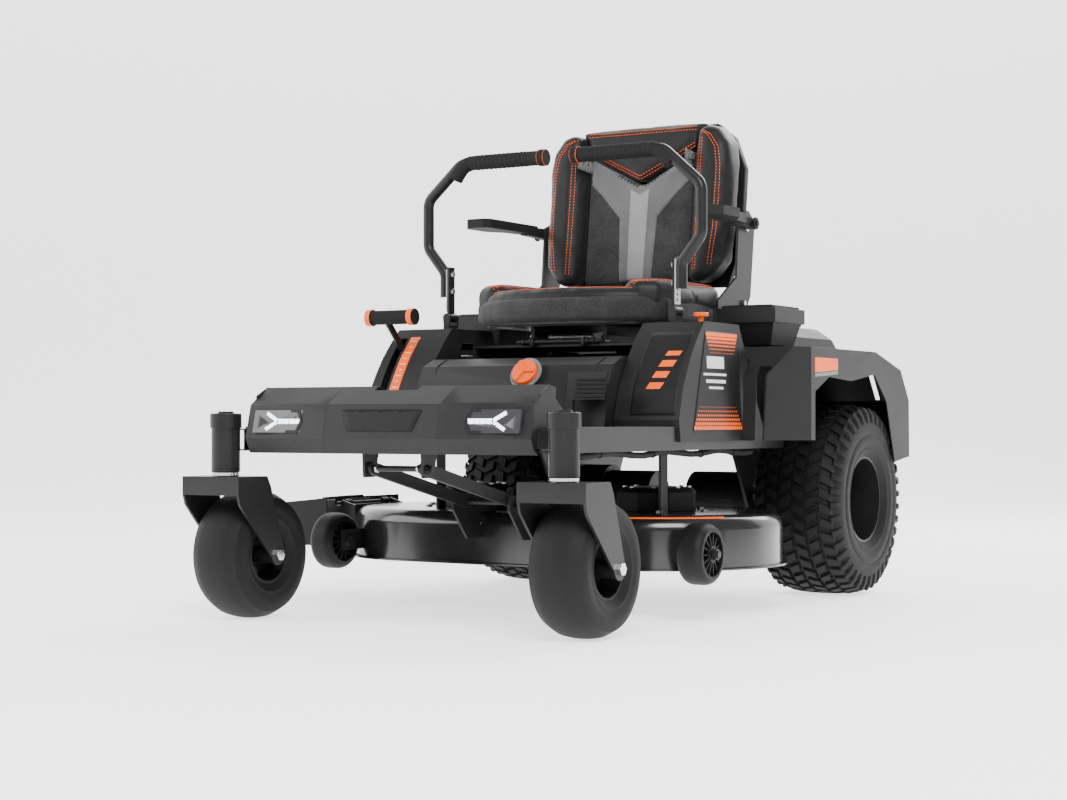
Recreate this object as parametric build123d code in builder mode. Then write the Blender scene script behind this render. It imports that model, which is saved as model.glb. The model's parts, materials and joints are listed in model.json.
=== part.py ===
from build123d import *
from math import atan2, cos, degrees, hypot, radians, sin
import os

# Zero turn mower.  Millimetres.  While modelling, X = 0 is the centre plane (+X is the
# operator's left), Y = 0 is the caster swivel axis (the front faces -Y) and Z = 0 is the
# ground.  Pieces are moved at the end so that the origin is under the middle of the box.

# ---- driving dimensions -------------------------------------------------------------
wheelbase = 1283.0          # caster swivel axis to rear axle
caster_track_half = 409.0   # centre plane to swivel axis
rear_tyre_r = 230.0
rear_tyre_w = 221.0
rear_track_half = 410.0     # centre plane to middle of rear tyre
caster_r = 136.0
caster_w = 124.0
caster_trail = 82.0
deck_top_z = 218.0
deck_lip_z = 102.0
blade_shell_r = 280.0       # wall radius round each blade
blade_left_x = 228.0
blade_left_y = 730.0
blade_right_x = -272.0
blade_right_y = 750.0
console_inner_x = 250.0
console_outer_x = 408.0
console_top_z = 633.0
seat_half_w = 262.0
seat_top_z = 722.0
back_top_z = 1148.0
lever_top_z = 1024.0

# ---- shared sizes and clearances ----------------------------------------------------
running_clear = 0.06        # radial, shaft in bore
gap = 0.4                   # between bodies that move past each other
side_gap = 2.0              # washer-width gap beside a moving arm
wall = 3.5                  # moulded plastic skins
sheet = 3.0                 # box tube wall
plate = 6.0                 # pressed steel brackets

# ---- frame --------------------------------------------------------------------------
rail_w = 50.0
rail_h = 46.0
rail_z = 379.0              # middle height of the side rails
rail_outer_x = 400.0
rail_mid_x = rail_outer_x - rail_w / 2
rail_inner_x = rail_outer_x - rail_w
rail_bottom = rail_z - rail_h / 2
rail_top = rail_z + rail_h / 2
beam_front_y = 8.0
beam_depth = 40.0
beam_back_y = beam_front_y + beam_depth
cross_mid_y = 590.0
cross_rear_y = 1015.0
cross_w = 50.0
rail_back_y = cross_rear_y + cross_w / 2
motor_plate_x = 262.0       # inner face
motor_plate_t = 8.0
motor_plate_back_y = 1500.0
motor_plate_bottom = 150.0
crossbar_y = 1475.0
hitch_t = 8.0
hitch_hole_r = 8.0
hitch_w = 120.0
hitch_back_y = 1560.0
hitch_hole_y = 1535.0
floor_t = 4.0
floor_back_y = 585.0
floor_half_w = 246.0
mat_t = 6.0
rib_pitch = 40.0

# ---- casters ------------------------------------------------------------------------
tube_r = 30.0
tube_top = 412.0
tube_bottom = 311.0
spindle_r = 15.0
bush_r = 22.0
bush_len = 22.0
cap_r = 33.0
cap_top = 434.0
cap_wall = 3.0
cap_skirt = 9.0
ring_r = 27.0
ring_h = 8.0
fork_half_w = 75.0
fork_t = 6.0
fork_front_y = -50.0
fork_back_y = 45.0
fork_lip_h = 39.0
fork_top = tube_bottom - ring_h - gap
axle_r = 8.0
caster_axle_end = 82.0
caster_rim_r = 62.0
fork_eye_r = 22.0

# ---- rear wheels --------------------------------------------------------------------
rim_r = 103.0
rim_flange_r = 117.0
rim_disc_t = 6.0
hub_shaft_r = 15.0
hub_flange_r = 60.0
hub_flange_t = 10.0
motor_r = 62.0
gearbox_r = 76.0
motor_inner_x = 52.0
gearbox_inner_x = 185.0
lug_pcd = 92.0
lug_r = 7.0

# ---- deck ---------------------------------------------------------------------------
deck_wall = 4.0
deck_edge_r = 32.0
deck_lip_w = 12.0
deck_rear_y = 1012.0
deck_rear_half_w = 400.0
blade_r = 248.0
blade_w = 60.0
blade_t = 5.0
blade_z = 124.0
spindle_shaft_r = 12.0
deck_motor_r = 92.0
deck_motor_h = 52.0
gauge_x = 468.0
gauge_y = 462.0
gauge_z = 143.0
gauge_r = 64.0
gauge_w = 58.0
gauge_bolt_r = 8.0
deck_travel = 72.0
chute_hinge_z = 222.0
chute_hinge_r = 5.0
chute_front_y = 560.0
chute_back_y = 860.0
chute_reach = 150.0
chute_bottom_z = 122.0
discharge_z = 200.0

# ---- deck lift ----------------------------------------------------------------------
lift_y = 800.0
lift_z = rail_z
lift_shaft_r = 12.0
lift_swing = 25.0           # degrees over the deck's whole travel
lift_arm_len = deck_travel / (2 * sin(radians(lift_swing / 2)))
lift_arm_x = 300.0
lift_arm_t = 8.0
lift_pin_r = 6.0
handle_angle = 135.2        # degrees from +Y, seen from +X
handle_r = 394.6
handle_mid_x = -350.0
handle_len = 130.0
stem_x = -368.0
stem_r = 8.0
grip_r = 16.5
bar_r = 11.0
link_pin_y = 42.0
link_pin_z = 322.0
link_end_y = 392.0
link_end_z = 243.0
link_x = 62.0

# ---- bodywork -----------------------------------------------------------------------
fascia_seam_x = 137.0
fascia_end_x = 345.0
fascia_sweep = 14.0         # how far the ends fall back
lamp_inner_x = 200.0
lamp_outer_x = 322.0
box_half_w = 246.0
box_front_y = 452.0          # where the battery box meets the floor
console_front_y = 486.0
fender_inner_x = 300.0
fender_outer_x = 527.0
fender_top = 585.0
bin_inner_x = 292.0
bin_outer_x = 440.0
bin_front_y = 903.0
bin_back_y = 1072.0
bin_top = 655.0
bin_bottom = 592.0
lid_top = 683.0
rear_cover_half_w = 340.0
rear_cover_top = 650.0
rear_cover_front_y = 1215.0
rear_cover_back_y = 1530.0
cover_hinge_y = 1537.0
cover_hinge_z = 592.0
cover_pin_r = 3.0
lid_hinge_y = 1077.5
lid_hinge_z = 643.0
lid_pin_r = 2.5
lid_ear_x = 44.0
knuckle_x = 180.0
knuckle_w = 14.0

port_x = 42.0
port_y = 469.0
port_z = 522.0
port_collar_r = 34.0
port_cap_r = 29.0
port_bore_r = 22.0
key_x = 345.0
key_y = 760.0
key_r = 11.0
knob_x = 345.0
knob_y = 715.0
knob_stem_r = 6.0
pedal_x = 168.0
pedal_w = 94.0
pedal_arm_w = 16.0
pedal_pivot_y = 430.0
pedal_pivot_z = 420.0
pedal_pin_r = 4.0
pedal_barrel_r = 8.0

# ---- seat ---------------------------------------------------------------------------
platform_z = 588.0
platform_t = 6.0
platform_half_w = 236.0
platform_front_y = 690.0
platform_back_y = rail_back_y
seat_hinge_y = 684.0
seat_hinge_z = 600.0
leg_top_z = 548.0
leg_bottom_z = 528.0
battery_mid_y = 865.0
battery_len = 290.0
battery_h = 150.0
controller_x = -100.0
controller_y = 535.0
controller_len = 90.0
hinge_pin_r = 5.0
slide_x = 96.0
slide_w = 22.0
slide_h = 16.0
slide_travel = 60.0
pan_z = 636.0
pan_t = 5.0
cushion_bottom = pan_z + pan_t
seat_front_y = 617.0
seat_back_y = 1048.0
back_front_y = 1052.0
back_lean = 52.0            # how far the top of the back leans rearwards
back_bottom_z = 742.0
back_half_w = 252.0
back_thick = 62.0
back_shell_t = 22.0
arm_inner_x = 262.0
arm_outer_x = 345.0
arm_front_y = 813.0
arm_pivot_y = 1098.0
arm_pivot_z = 890.0
arm_pad_h = 22.0

# ---- steering levers ----------------------------------------------------------------
lever_x = 297.0
lever_y = 688.0
lever_pivot_z = 600.0
swing_pivot_z = 662.0
neck_half = 20.0
mount_half = 15.0
mount_bar_top = 584.0
mount_bar_t = 12.0
mount_reach = 24.0
lever_shaft_r = 8.0
swing_pin_r = 5.0
lever_out_x = 360.0
lever_tube_r = 12.7
lever_grip_r = 17.0
lever_tip_x = 38.0
lever_bend_low_z = 828.0
lever_bend_high_z = 940.0
lever_bend_top_x = 266.0
lever_slot_w = 34.0
lever_slot_len = 76.0

LEFT = 1
RIGHT = -1
pieces = {}


def keep(name, part):
    """Register a finished piece under its node name."""
    pieces[name] = part


def keep_pair(name, part):
    """Register a left-hand piece and its mirror image on the right."""
    keep(name + "_left", part)
    keep(name + "_right", mirror(part, about=Plane.YZ))


def both(part):
    """A left-hand piece and its mirror image, as a pair."""
    return part, mirror(part, about=Plane.YZ)


def group(*parts):
    """Separate solids that belong to one node."""
    return Compound([solid for part in parts for solid in part.solids()])


port_plane = Plane(origin=(port_x, port_y, port_z), x_dir=(1, 0, 0), z_dir=(0, -0.878, 0.479))


def across(x):
    """Sketch plane square to X at x, with sketch axes along +Y and +Z."""
    return Plane(origin=(x, 0, 0), x_dir=(0, 1, 0), z_dir=(1, 0, 0))


def facing(y):
    """Sketch plane square to Y at y, with sketch axes along +X and +Z."""
    return Plane(origin=(0, y, 0), x_dir=(1, 0, 0), z_dir=(0, -1, 0))


# ---- frame: welded box tubes, motor plates, hitch plate and front hanger lugs --------
with BuildPart() as front_beam:
    beam_half = caster_track_half
    with BuildSketch(facing(beam_front_y)):
        with Locations((0, rail_z)):
            Rectangle(2 * beam_half, rail_h)
            Rectangle(2 * beam_half, rail_h - 2 * sheet, mode=Mode.SUBTRACT)
    extrude(amount=-beam_depth)
    for side in (LEFT, RIGHT):
        with BuildSketch(Plane.XY.offset(rail_bottom)):
            with Locations((side * caster_track_half, 0)):
                Circle(tube_r)
        extrude(amount=rail_h, mode=Mode.SUBTRACT)
        with BuildSketch(Plane.XY.offset(rail_bottom)):
            with Locations((side * (caster_track_half + tube_r), beam_front_y)):
                Rectangle(2 * tube_r, 2 * beam_depth + 2 * tube_r)
        extrude(amount=rail_h, mode=Mode.SUBTRACT)

with BuildPart() as side_rail:
    with BuildSketch(facing(beam_back_y)):
        with Locations((rail_mid_x, rail_z)):
            Rectangle(rail_w, rail_h)
            Rectangle(rail_w - 2 * sheet, rail_h - 2 * sheet, mode=Mode.SUBTRACT)
    extrude(amount=-(rail_back_y - beam_back_y))
    with BuildSketch(across(rail_inner_x - sheet)):
        with Locations((lift_y, lift_z)):
            Circle(lift_shaft_r + side_gap)
    extrude(amount=3 * sheet, mode=Mode.SUBTRACT)

with BuildPart() as lift_bush:
    with BuildSketch(across(rail_inner_x)):
        with Locations((lift_y, lift_z)):
            Circle(lift_shaft_r + plate)
            Circle(lift_shaft_r + running_clear, mode=Mode.SUBTRACT)
    extrude(amount=-2 * plate)

cross_tubes = []
for middle_y, half in ((cross_mid_y, rail_inner_x), (cross_rear_y, rail_inner_x)):
    with BuildPart() as cross_tube:
        with BuildSketch(across(-half)):
            with Locations((middle_y, rail_z)):
                Rectangle(cross_w, rail_h)
                Rectangle(cross_w - 2 * sheet, rail_h - 2 * sheet, mode=Mode.SUBTRACT)
        extrude(amount=2 * half)
    cross_tubes.append(cross_tube.part)

with BuildPart() as rear_bar:
    with BuildSketch(across(-motor_plate_x)):
        with Locations((crossbar_y, rail_z)):
            Rectangle(cross_w, rail_h)
            Rectangle(cross_w - 2 * sheet, rail_h - 2 * sheet, mode=Mode.SUBTRACT)
    extrude(amount=2 * motor_plate_x)

with BuildPart() as motor_plate:
    with BuildSketch(across(motor_plate_x)):
        with BuildLine():
            Polyline(
                (rail_back_y, rail_top),
                (motor_plate_back_y, rail_top),
                (motor_plate_back_y, rail_bottom),
                (wheelbase + gearbox_r + 40, motor_plate_bottom),
                (wheelbase - gearbox_r - 40, motor_plate_bottom),
                (rail_back_y, rail_bottom),
                close=True,
            )
        make_face()
        with Locations((wheelbase, rear_tyre_r)):
            Circle(hub_shaft_r + plate, mode=Mode.SUBTRACT)
    extrude(amount=motor_plate_t)

with BuildPart() as hitch_plate:
    hitch_len = hitch_back_y - (crossbar_y - cross_w / 2)
    with BuildSketch(Plane.XY.offset(rail_bottom - hitch_t)):
        with Locations((0, hitch_back_y - hitch_len / 2)):
            RectangleRounded(hitch_w, hitch_len, 12)
        with Locations((0, hitch_hole_y)):
            Circle(hitch_hole_r, mode=Mode.SUBTRACT)
    extrude(amount=hitch_t)

with BuildPart() as hanger:
    lug_x = link_x + lift_arm_t / 2 + side_gap
    with BuildSketch(across(lug_x)):
        with BuildLine():
            Polyline(
                (link_pin_y - 21, rail_bottom),
                (link_pin_y + 30, rail_bottom),
                (link_pin_y + 18, link_pin_z - 18),
                (link_pin_y - 18, link_pin_z - 18),
                close=True,
            )
        make_face()
        with Locations((link_pin_y, link_pin_z)):
            Circle(lift_pin_r, mode=Mode.SUBTRACT)
    extrude(amount=plate)

with BuildPart() as hanger_pin:
    with BuildSketch(across(lug_x + plate + 10)):
        with Locations((link_pin_y, link_pin_z)):
            Circle(lift_pin_r)
    extrude(amount=-(2 * lug_x + 2 * plate + 20))
    for x in (lug_x + plate, -(lug_x + plate + 6)):
        with BuildSketch(across(x)):
            with Locations((link_pin_y, link_pin_z)):
                RegularPolygon(10, 6)
        extrude(amount=6)

# ---- foot platform ------------------------------------------------------------------
with BuildPart() as floor_pan:
    floor_front_y = beam_back_y + 2 * side_gap
    with BuildSketch(Plane.XY.offset(rail_top)):
        with Locations((0, (floor_front_y + floor_back_y) / 2)):
            Rectangle(2 * floor_half_w, floor_back_y - floor_front_y)
    extrude(amount=floor_t)
    with BuildSketch(Plane.XY.offset(rail_top)):
        with Locations((0, (floor_front_y + console_front_y) / 2)):
            Rectangle(2 * rail_outer_x, console_front_y - floor_front_y)
    extrude(amount=floor_t)
keep("floor_pan", floor_pan.part)

with BuildPart() as foot_mat:
    mat_len = box_front_y - 45 - floor_front_y - 20
    mat_mid_y = floor_front_y + 20 + mat_len / 2
    with BuildSketch(Plane.XY.offset(rail_top + floor_t)):
        with Locations((0, mat_mid_y)):
            RectangleRounded(2 * floor_half_w - 40, mat_len, 15)
    extrude(amount=mat_t / 2)
    with BuildSketch(Plane.XY.offset(rail_top + floor_t + mat_t / 2)):
        with Locations((0, mat_mid_y)):
            with GridLocations(rib_pitch, 0, int((2 * floor_half_w - 80) / rib_pitch), 1):
                Rectangle(rib_pitch / 2, mat_len - 30)
    extrude(amount=mat_t / 2)
keep("foot_mat", foot_mat.part)

# ---- casters ------------------------------------------------------------------------
with BuildPart() as caster_tube:
    with BuildSketch(Plane.XY.offset(tube_bottom)):
        with Locations((caster_track_half, 0)):
            Circle(tube_r)
            Circle(bush_r, mode=Mode.SUBTRACT)
    extrude(amount=tube_top - tube_bottom)

caster_bushes = []
for bush_z in (tube_bottom, tube_top - bush_len):
    with BuildPart() as caster_bush:
        with BuildSketch(Plane.XY.offset(bush_z)):
            with Locations((caster_track_half, 0)):
                Circle(bush_r)
                Circle(spindle_r + running_clear, mode=Mode.SUBTRACT)
        extrude(amount=bush_len)
    caster_bushes.append(caster_bush.part)

with BuildPart() as thrust_ring:
    with BuildSketch(Plane.XY.offset(tube_bottom - ring_h)):
        with Locations((caster_track_half, 0)):
            Circle(ring_r)
            Circle(spindle_r + running_clear, mode=Mode.SUBTRACT)
    extrude(amount=ring_h)

with BuildPart() as caster_cap:
    with BuildSketch(Plane.XY.offset(tube_top - cap_skirt)):
        with Locations((caster_track_half, 0)):
            Circle(cap_r)
    extrude(amount=cap_top - tube_top + cap_skirt)
    chamfer(caster_cap.faces().sort_by(Axis.Z)[-1].edges(), length=2)
    with BuildSketch(Plane.XY.offset(cap_top)):
        with Locations((caster_track_half, 0)):
            Circle(cap_r / 2)
    extrude(amount=side_gap * 2)
    with BuildSketch(Plane.XY.offset(tube_top - cap_skirt)):
        with Locations((caster_track_half, 0)):
            Circle(tube_r)
    extrude(amount=cap_top - tube_top + cap_skirt - cap_wall, mode=Mode.SUBTRACT)

keep("caster_tubes", group(
    *both(caster_tube.part),
    *both(caster_bushes[0]),
    *both(caster_bushes[1]),
    *both(thrust_ring.part),
    *both(caster_cap.part),
))

with BuildPart() as caster_fork:
    with BuildSketch(Plane.XY.offset(fork_top - fork_t)):
        with Locations((caster_track_half, (fork_front_y + fork_back_y) / 2)):
            RectangleRounded(2 * fork_half_w, fork_back_y - fork_front_y, 6)
    extrude(amount=fork_t)
    with BuildSketch(facing(fork_front_y)):
        with Locations((caster_track_half, fork_top - fork_lip_h / 2)):
            Rectangle(2 * fork_half_w - 2, fork_lip_h)
    extrude(amount=-fork_t)
    for side_x in (caster_track_half - fork_half_w, caster_track_half + fork_half_w - fork_t):
        with BuildSketch(across(side_x)):
            with BuildLine():
                Polyline(
                    (fork_front_y, fork_top),
                    (fork_back_y, fork_top),
                    (fork_back_y + 12, fork_top - 22),
                    (caster_trail + fork_eye_r, caster_r + 4),
                    (caster_trail, caster_r - fork_eye_r),
                    (caster_trail - fork_eye_r, caster_r - 4),
                    (fork_front_y + 34, fork_top - 90),
                    (fork_front_y + 6, fork_top - fork_lip_h - 20),
                    (fork_front_y, fork_top - fork_lip_h),
                    close=True,
                )
            make_face()
            with Locations((caster_trail, caster_r)):
                Circle(fork_eye_r)
                Circle(axle_r, mode=Mode.SUBTRACT)
        extrude(amount=fork_t)
    with BuildSketch(Plane.XY.offset(fork_top - fork_t)):
        with Locations((caster_track_half, 0)):
            Circle(spindle_r)
    extrude(amount=tube_top + 6 - fork_top + fork_t)
keep_pair("caster_fork", caster_fork.part)

with BuildPart() as caster_axle:
    with BuildSketch(across(caster_track_half - caster_axle_end)):
        with Locations((caster_trail, caster_r)):
            Circle(axle_r)
    extrude(amount=2 * caster_axle_end)
    for nut_x in (caster_track_half - fork_half_w - 8, caster_track_half + fork_half_w):
        with BuildSketch(across(nut_x)):
            with Locations((caster_trail, caster_r)):
                RegularPolygon(axle_r * 1.6, 6)
        extrude(amount=8)
keep_pair("caster_axle", caster_axle.part)

with BuildPart() as caster_tyre:
    with BuildSketch(Plane(origin=(caster_track_half, caster_trail, caster_r), x_dir=(1, 0, 0), z_dir=(0, -1, 0))):
        with BuildLine():
            half = caster_w / 2
            Line((-half + 12, caster_rim_r), (half - 12, caster_rim_r))
            Line((half - 12, caster_rim_r), (half - 4, caster_rim_r + 14))
            Spline((half - 4, caster_rim_r + 14), (half, 102), (half * 0.62, caster_r - 6), (0, caster_r),
                   (-half * 0.62, caster_r - 6), (-half, 102), (-half + 4, caster_rim_r + 14))
            Line((-half + 4, caster_rim_r + 14), (-half + 12, caster_rim_r))
        make_face()
        with BuildLine():
            Polyline((-half + 26, caster_rim_r - 1), (half - 26, caster_rim_r - 1), (half - 16, 96),
                     (half * 0.5, caster_r - 18), (-half * 0.5, caster_r - 18), (-half + 16, 96), close=True)
        make_face(mode=Mode.SUBTRACT)
    revolve(axis=Axis((caster_track_half, caster_trail, caster_r), (1, 0, 0)))
keep_pair("caster_tyre", caster_tyre.part)

with BuildPart() as caster_hub:
    with BuildSketch(across(caster_track_half - caster_w / 2 + 12)):
        with Locations((caster_trail, caster_r)):
            Circle(caster_rim_r)
            Circle(caster_rim_r - 6, mode=Mode.SUBTRACT)
    extrude(amount=caster_w - 24)
    with BuildSketch(across(caster_track_half - 4)):
        with Locations((caster_trail, caster_r)):
            Circle(caster_rim_r - 5)
            Circle(axle_r + 8, mode=Mode.SUBTRACT)
            with PolarLocations(38, 5):
                Circle(9, mode=Mode.SUBTRACT)
    extrude(amount=8)
    with BuildSketch(across(caster_track_half - fork_half_w + fork_t + side_gap)):
        with Locations((caster_trail, caster_r)):
            Circle(axle_r + 10)
            Circle(axle_r + running_clear, mode=Mode.SUBTRACT)
    extrude(amount=2 * (fork_half_w - fork_t - side_gap))
keep_pair("caster_hub", caster_hub.part)

# ---- rear wheels and their drive ----------------------------------------------------
rear_axis = Axis((rear_track_half, wheelbase, rear_tyre_r), (1, 0, 0))
rear_section = Plane(origin=(rear_track_half, wheelbase, rear_tyre_r), x_dir=(1, 0, 0), z_dir=(0, -1, 0))
rear_half_w = rear_tyre_w / 2

with BuildPart() as rear_tyre:
    with BuildSketch(rear_section):
        with BuildLine():
            Polyline(
                (-rear_half_w + 16, rim_r),
                (rear_half_w - 16, rim_r),
                (rear_half_w - 6, rim_flange_r + 4),
                (rear_half_w, 160),
                (rear_half_w - 5, 196),
                (rear_half_w - 20, 218),
                (rear_half_w * 0.5, rear_tyre_r - 2),
                (0, rear_tyre_r),
                (-rear_half_w * 0.5, rear_tyre_r - 2),
                (-rear_half_w + 20, 218),
                (-rear_half_w + 5, 196),
                (-rear_half_w, 160),
                (-rear_half_w + 6, rim_flange_r + 4),
                close=True,
            )
        make_face()
        with BuildLine():
            Polyline(
                (-rear_half_w + 34, rim_r - 1),
                (rear_half_w - 34, rim_r - 1),
                (rear_half_w - 18, rim_flange_r + 10),
                (rear_half_w - 14, 160),
                (rear_half_w - 24, 196),
                (rear_half_w * 0.5, rear_tyre_r - 22),
                (-rear_half_w * 0.5, rear_tyre_r - 22),
                (-rear_half_w + 24, 196),
                (-rear_half_w + 14, 160),
                (-rear_half_w + 18, rim_flange_r + 10),
                close=True,
            )
        make_face(mode=Mode.SUBTRACT)
    revolve(axis=rear_axis)
keep_pair("rear_tyre", rear_tyre.part)

hub_face_x = rear_track_half - 40
with BuildPart() as rear_rim:
    with BuildSketch(rear_section):
        with BuildLine():
            Polyline(
                (-rear_half_w + 16, rim_r),
                (-rear_half_w + 16, rim_r - 5),
                (rear_half_w - 16, rim_r - 5),
                (rear_half_w - 16, rim_r),
                close=True,
            )
        make_face()
    revolve(axis=rear_axis)
    with BuildSketch(across(hub_face_x)):
        with Locations((wheelbase, rear_tyre_r)):
            Circle(rim_r - 2)
            with PolarLocations(lug_pcd / 2, 4):
                Circle(lug_r, mode=Mode.SUBTRACT)
    extrude(amount=rim_disc_t)

with BuildPart() as rear_hub:
    with BuildSketch(across(hub_face_x)):
        with Locations((wheelbase, rear_tyre_r)):
            Circle(hub_flange_r)
    extrude(amount=-hub_flange_t)
    with BuildSketch(across(hub_face_x - hub_flange_t)):
        with Locations((wheelbase, rear_tyre_r)):
            Circle(hub_shaft_r)
    extrude(amount=-(hub_face_x - hub_flange_t - motor_plate_x + 40))

with BuildPart() as rear_lugs:
    with BuildSketch(across(hub_face_x)):
        with Locations((wheelbase, rear_tyre_r)):
            with PolarLocations(lug_pcd / 2, 4):
                Circle(lug_r)
    extrude(amount=rim_disc_t)
    with BuildSketch(across(hub_face_x + rim_disc_t)):
        with Locations((wheelbase, rear_tyre_r)):
            with PolarLocations(lug_pcd / 2, 4):
                RegularPolygon(lug_r * 1.5, 6)
    extrude(amount=9)
keep_pair("rear_wheel", group(rear_rim.part, rear_hub.part, rear_lugs.part))

with BuildPart() as drive_motor:
    with BuildSketch(across(motor_inner_x)):
        with Locations((wheelbase, rear_tyre_r)):
            Circle(motor_r)
    extrude(amount=gearbox_inner_x - motor_inner_x)
    with BuildSketch(across(gearbox_inner_x)):
        with Locations((wheelbase, rear_tyre_r)):
            Circle(gearbox_r)
    extrude(amount=motor_plate_x - gearbox_inner_x)
    with BuildSketch(across(motor_plate_x)):
        with Locations((wheelbase, rear_tyre_r)):
            Circle(hub_shaft_r + plate)
    extrude(amount=motor_plate_t)
    with BuildSketch(across(motor_plate_x + motor_plate_t)):
        with Locations((wheelbase, rear_tyre_r)):
            Circle(hub_shaft_r + running_clear)
    extrude(amount=-(motor_plate_t + 50), mode=Mode.SUBTRACT)
keep("drive_motors", group(*both(drive_motor.part)))

# ---- cutting deck -------------------------------------------------------------------
deck_rear_round = 60.0


def deck_outline(inset):
    """Fill the current sketch with the deck's plan, drawn in by inset all round."""
    for centre in ((blade_left_x, blade_left_y), (blade_right_x, blade_right_y)):
        with Locations(centre):
            Circle(blade_shell_r - inset)
    front_left = blade_left_y - blade_shell_r + inset
    front_right = blade_right_y - blade_shell_r + inset
    Polygon(
        (blade_left_x, front_left),
        (blade_right_x, front_right),
        (blade_right_x, deck_rear_y - inset),
        (blade_left_x, deck_rear_y - inset),
        align=None,
    )
    with Locations((0, (blade_left_y + deck_rear_y - inset) / 2)):
        RectangleRounded(2 * (deck_rear_half_w - inset), deck_rear_y - inset - blade_left_y, deck_rear_round)


with BuildPart() as deck_shell:
    with BuildSketch(Plane.XY.offset(deck_lip_z)):
        deck_outline(0)
    extrude(amount=deck_top_z - deck_lip_z)
    fillet(deck_shell.faces().sort_by(Axis.Z)[-1].edges(), radius=deck_edge_r)
    with BuildSketch(Plane.XY.offset(deck_lip_z)):
        deck_outline(-deck_lip_w)
    extrude(amount=deck_wall)
    with BuildSketch(Plane.XY.offset(deck_lip_z)):
        deck_outline(deck_wall)
    extrude(amount=deck_top_z - deck_lip_z - deck_edge_r, mode=Mode.SUBTRACT)
    with BuildSketch(Plane.XY.offset(deck_top_z - deck_edge_r)):
        deck_outline(deck_edge_r)
    extrude(amount=deck_edge_r - deck_wall, mode=Mode.SUBTRACT)
    for centre in ((blade_left_x, blade_left_y), (blade_right_x, blade_right_y)):
        with BuildSketch(Plane.XY.offset(deck_top_z)):
            with Locations(centre):
                Circle(spindle_shaft_r + plate)
        extrude(amount=-3 * deck_wall, mode=Mode.SUBTRACT)
    discharge_mid_y = (chute_front_y + chute_back_y) / 2
    discharge_len = chute_back_y - chute_front_y - 60
    with BuildSketch(across(blade_right_x - blade_shell_r - deck_lip_w)):
        with Locations((discharge_mid_y, (deck_lip_z + deck_wall + discharge_z) / 2)):
            Rectangle(discharge_len, discharge_z - deck_lip_z - deck_wall)
    extrude(amount=100, mode=Mode.SUBTRACT)

# gauge wheel brackets: a plate beside each wheel, carried back to the deck's wall
gauge_brackets = []
for side in (LEFT, RIGHT):
    with BuildPart() as gauge_bracket:
        bracket_x = gauge_x - gauge_w / 2 - side_gap - plate
        with BuildSketch(across(side * bracket_x)):
            Polygon((gauge_y - 20, gauge_z - 20), (gauge_y + 140, gauge_z - 20), (gauge_y + 140, gauge_z + 26),
                    (gauge_y - 20, gauge_z + 26), align=None)
        extrude(amount=side * plate)
        with BuildSketch(across(side * bracket_x)):
            with Locations((gauge_y, gauge_z)):
                Circle(gauge_bolt_r)
        extrude(amount=side * (gauge_w + plate + 2 * side_gap + 12))
        for bolt_x in (bracket_x - 8, gauge_x + gauge_w / 2 + side_gap):
            with BuildSketch(across(side * bolt_x)):
                with Locations((gauge_y, gauge_z)):
                    RegularPolygon(gauge_bolt_r * 1.6, 6)
            extrude(amount=side * 8)
        with BuildSketch(Plane.XY.offset(deck_lip_z)):
            deck_outline(0)
        extrude(amount=deck_top_z - deck_lip_z, mode=Mode.SUBTRACT)
    gauge_brackets.append(gauge_bracket.part)

# hang bars for the rear links, a lug for the front links, and the chute's hinge lugs
arm_rest_angle = 180 - lift_swing / 2
arm_end_y = lift_y + lift_arm_len * cos(radians(arm_rest_angle))
arm_end_z = lift_z + lift_arm_len * sin(radians(arm_rest_angle))
arm_sag = lift_arm_len * (1 - cos(radians(lift_swing / 2)))

with BuildPart() as hang_bar:
    bar_x = lift_arm_x - lift_arm_t / 2 - side_gap - plate
    with BuildSketch(across(bar_x)):
        with BuildLine():
            Polyline(
                (arm_end_y - 16, deck_top_z),
                (arm_end_y + 16, deck_top_z),
                (arm_end_y + 16, arm_end_z + 16),
                (arm_end_y - 16, arm_end_z + 16),
                close=True,
            )
        make_face()
        with Locations((arm_end_y - arm_sag / 2, arm_end_z)):
            SlotOverall(2 * (lift_pin_r + arm_sag + side_gap), 2 * (lift_pin_r + gap), mode=Mode.SUBTRACT)
    extrude(amount=plate)

# the front links' rod rides in a level slot while the deck moves straight up and down
link_len = hypot(link_end_z - link_pin_z, link_end_y - link_pin_y)
link_low_y = link_pin_y + (link_len ** 2 - (link_end_z - deck_travel - link_pin_z) ** 2) ** 0.5
slot_mid_y = (link_low_y + link_end_y) / 2
slot_len = link_end_y - link_low_y + 2 * (lift_pin_r + side_gap)
with BuildPart() as front_lug:
    lug_back_y = blade_right_y - blade_shell_r + 60
    with BuildSketch(across(link_x + lift_arm_t / 2 + side_gap)):
        Polygon(
            (link_low_y - 18, link_end_z + 16),
            (link_low_y - 18, link_end_z - 16),
            (link_end_y + 14, deck_lip_z + 60),
            (lug_back_y, deck_lip_z + 60),
            (lug_back_y, deck_top_z + 8),
            (link_end_y + 60, link_end_z + 16),
            align=None,
        )
        with Locations((slot_mid_y, link_end_z)):
            SlotOverall(slot_len, 2 * (lift_pin_r + side_gap), mode=Mode.SUBTRACT)
    extrude(amount=plate)
    with BuildSketch(Plane.XY.offset(deck_lip_z)):
        deck_outline(0)
    extrude(amount=deck_top_z - deck_lip_z, mode=Mode.SUBTRACT)

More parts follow.
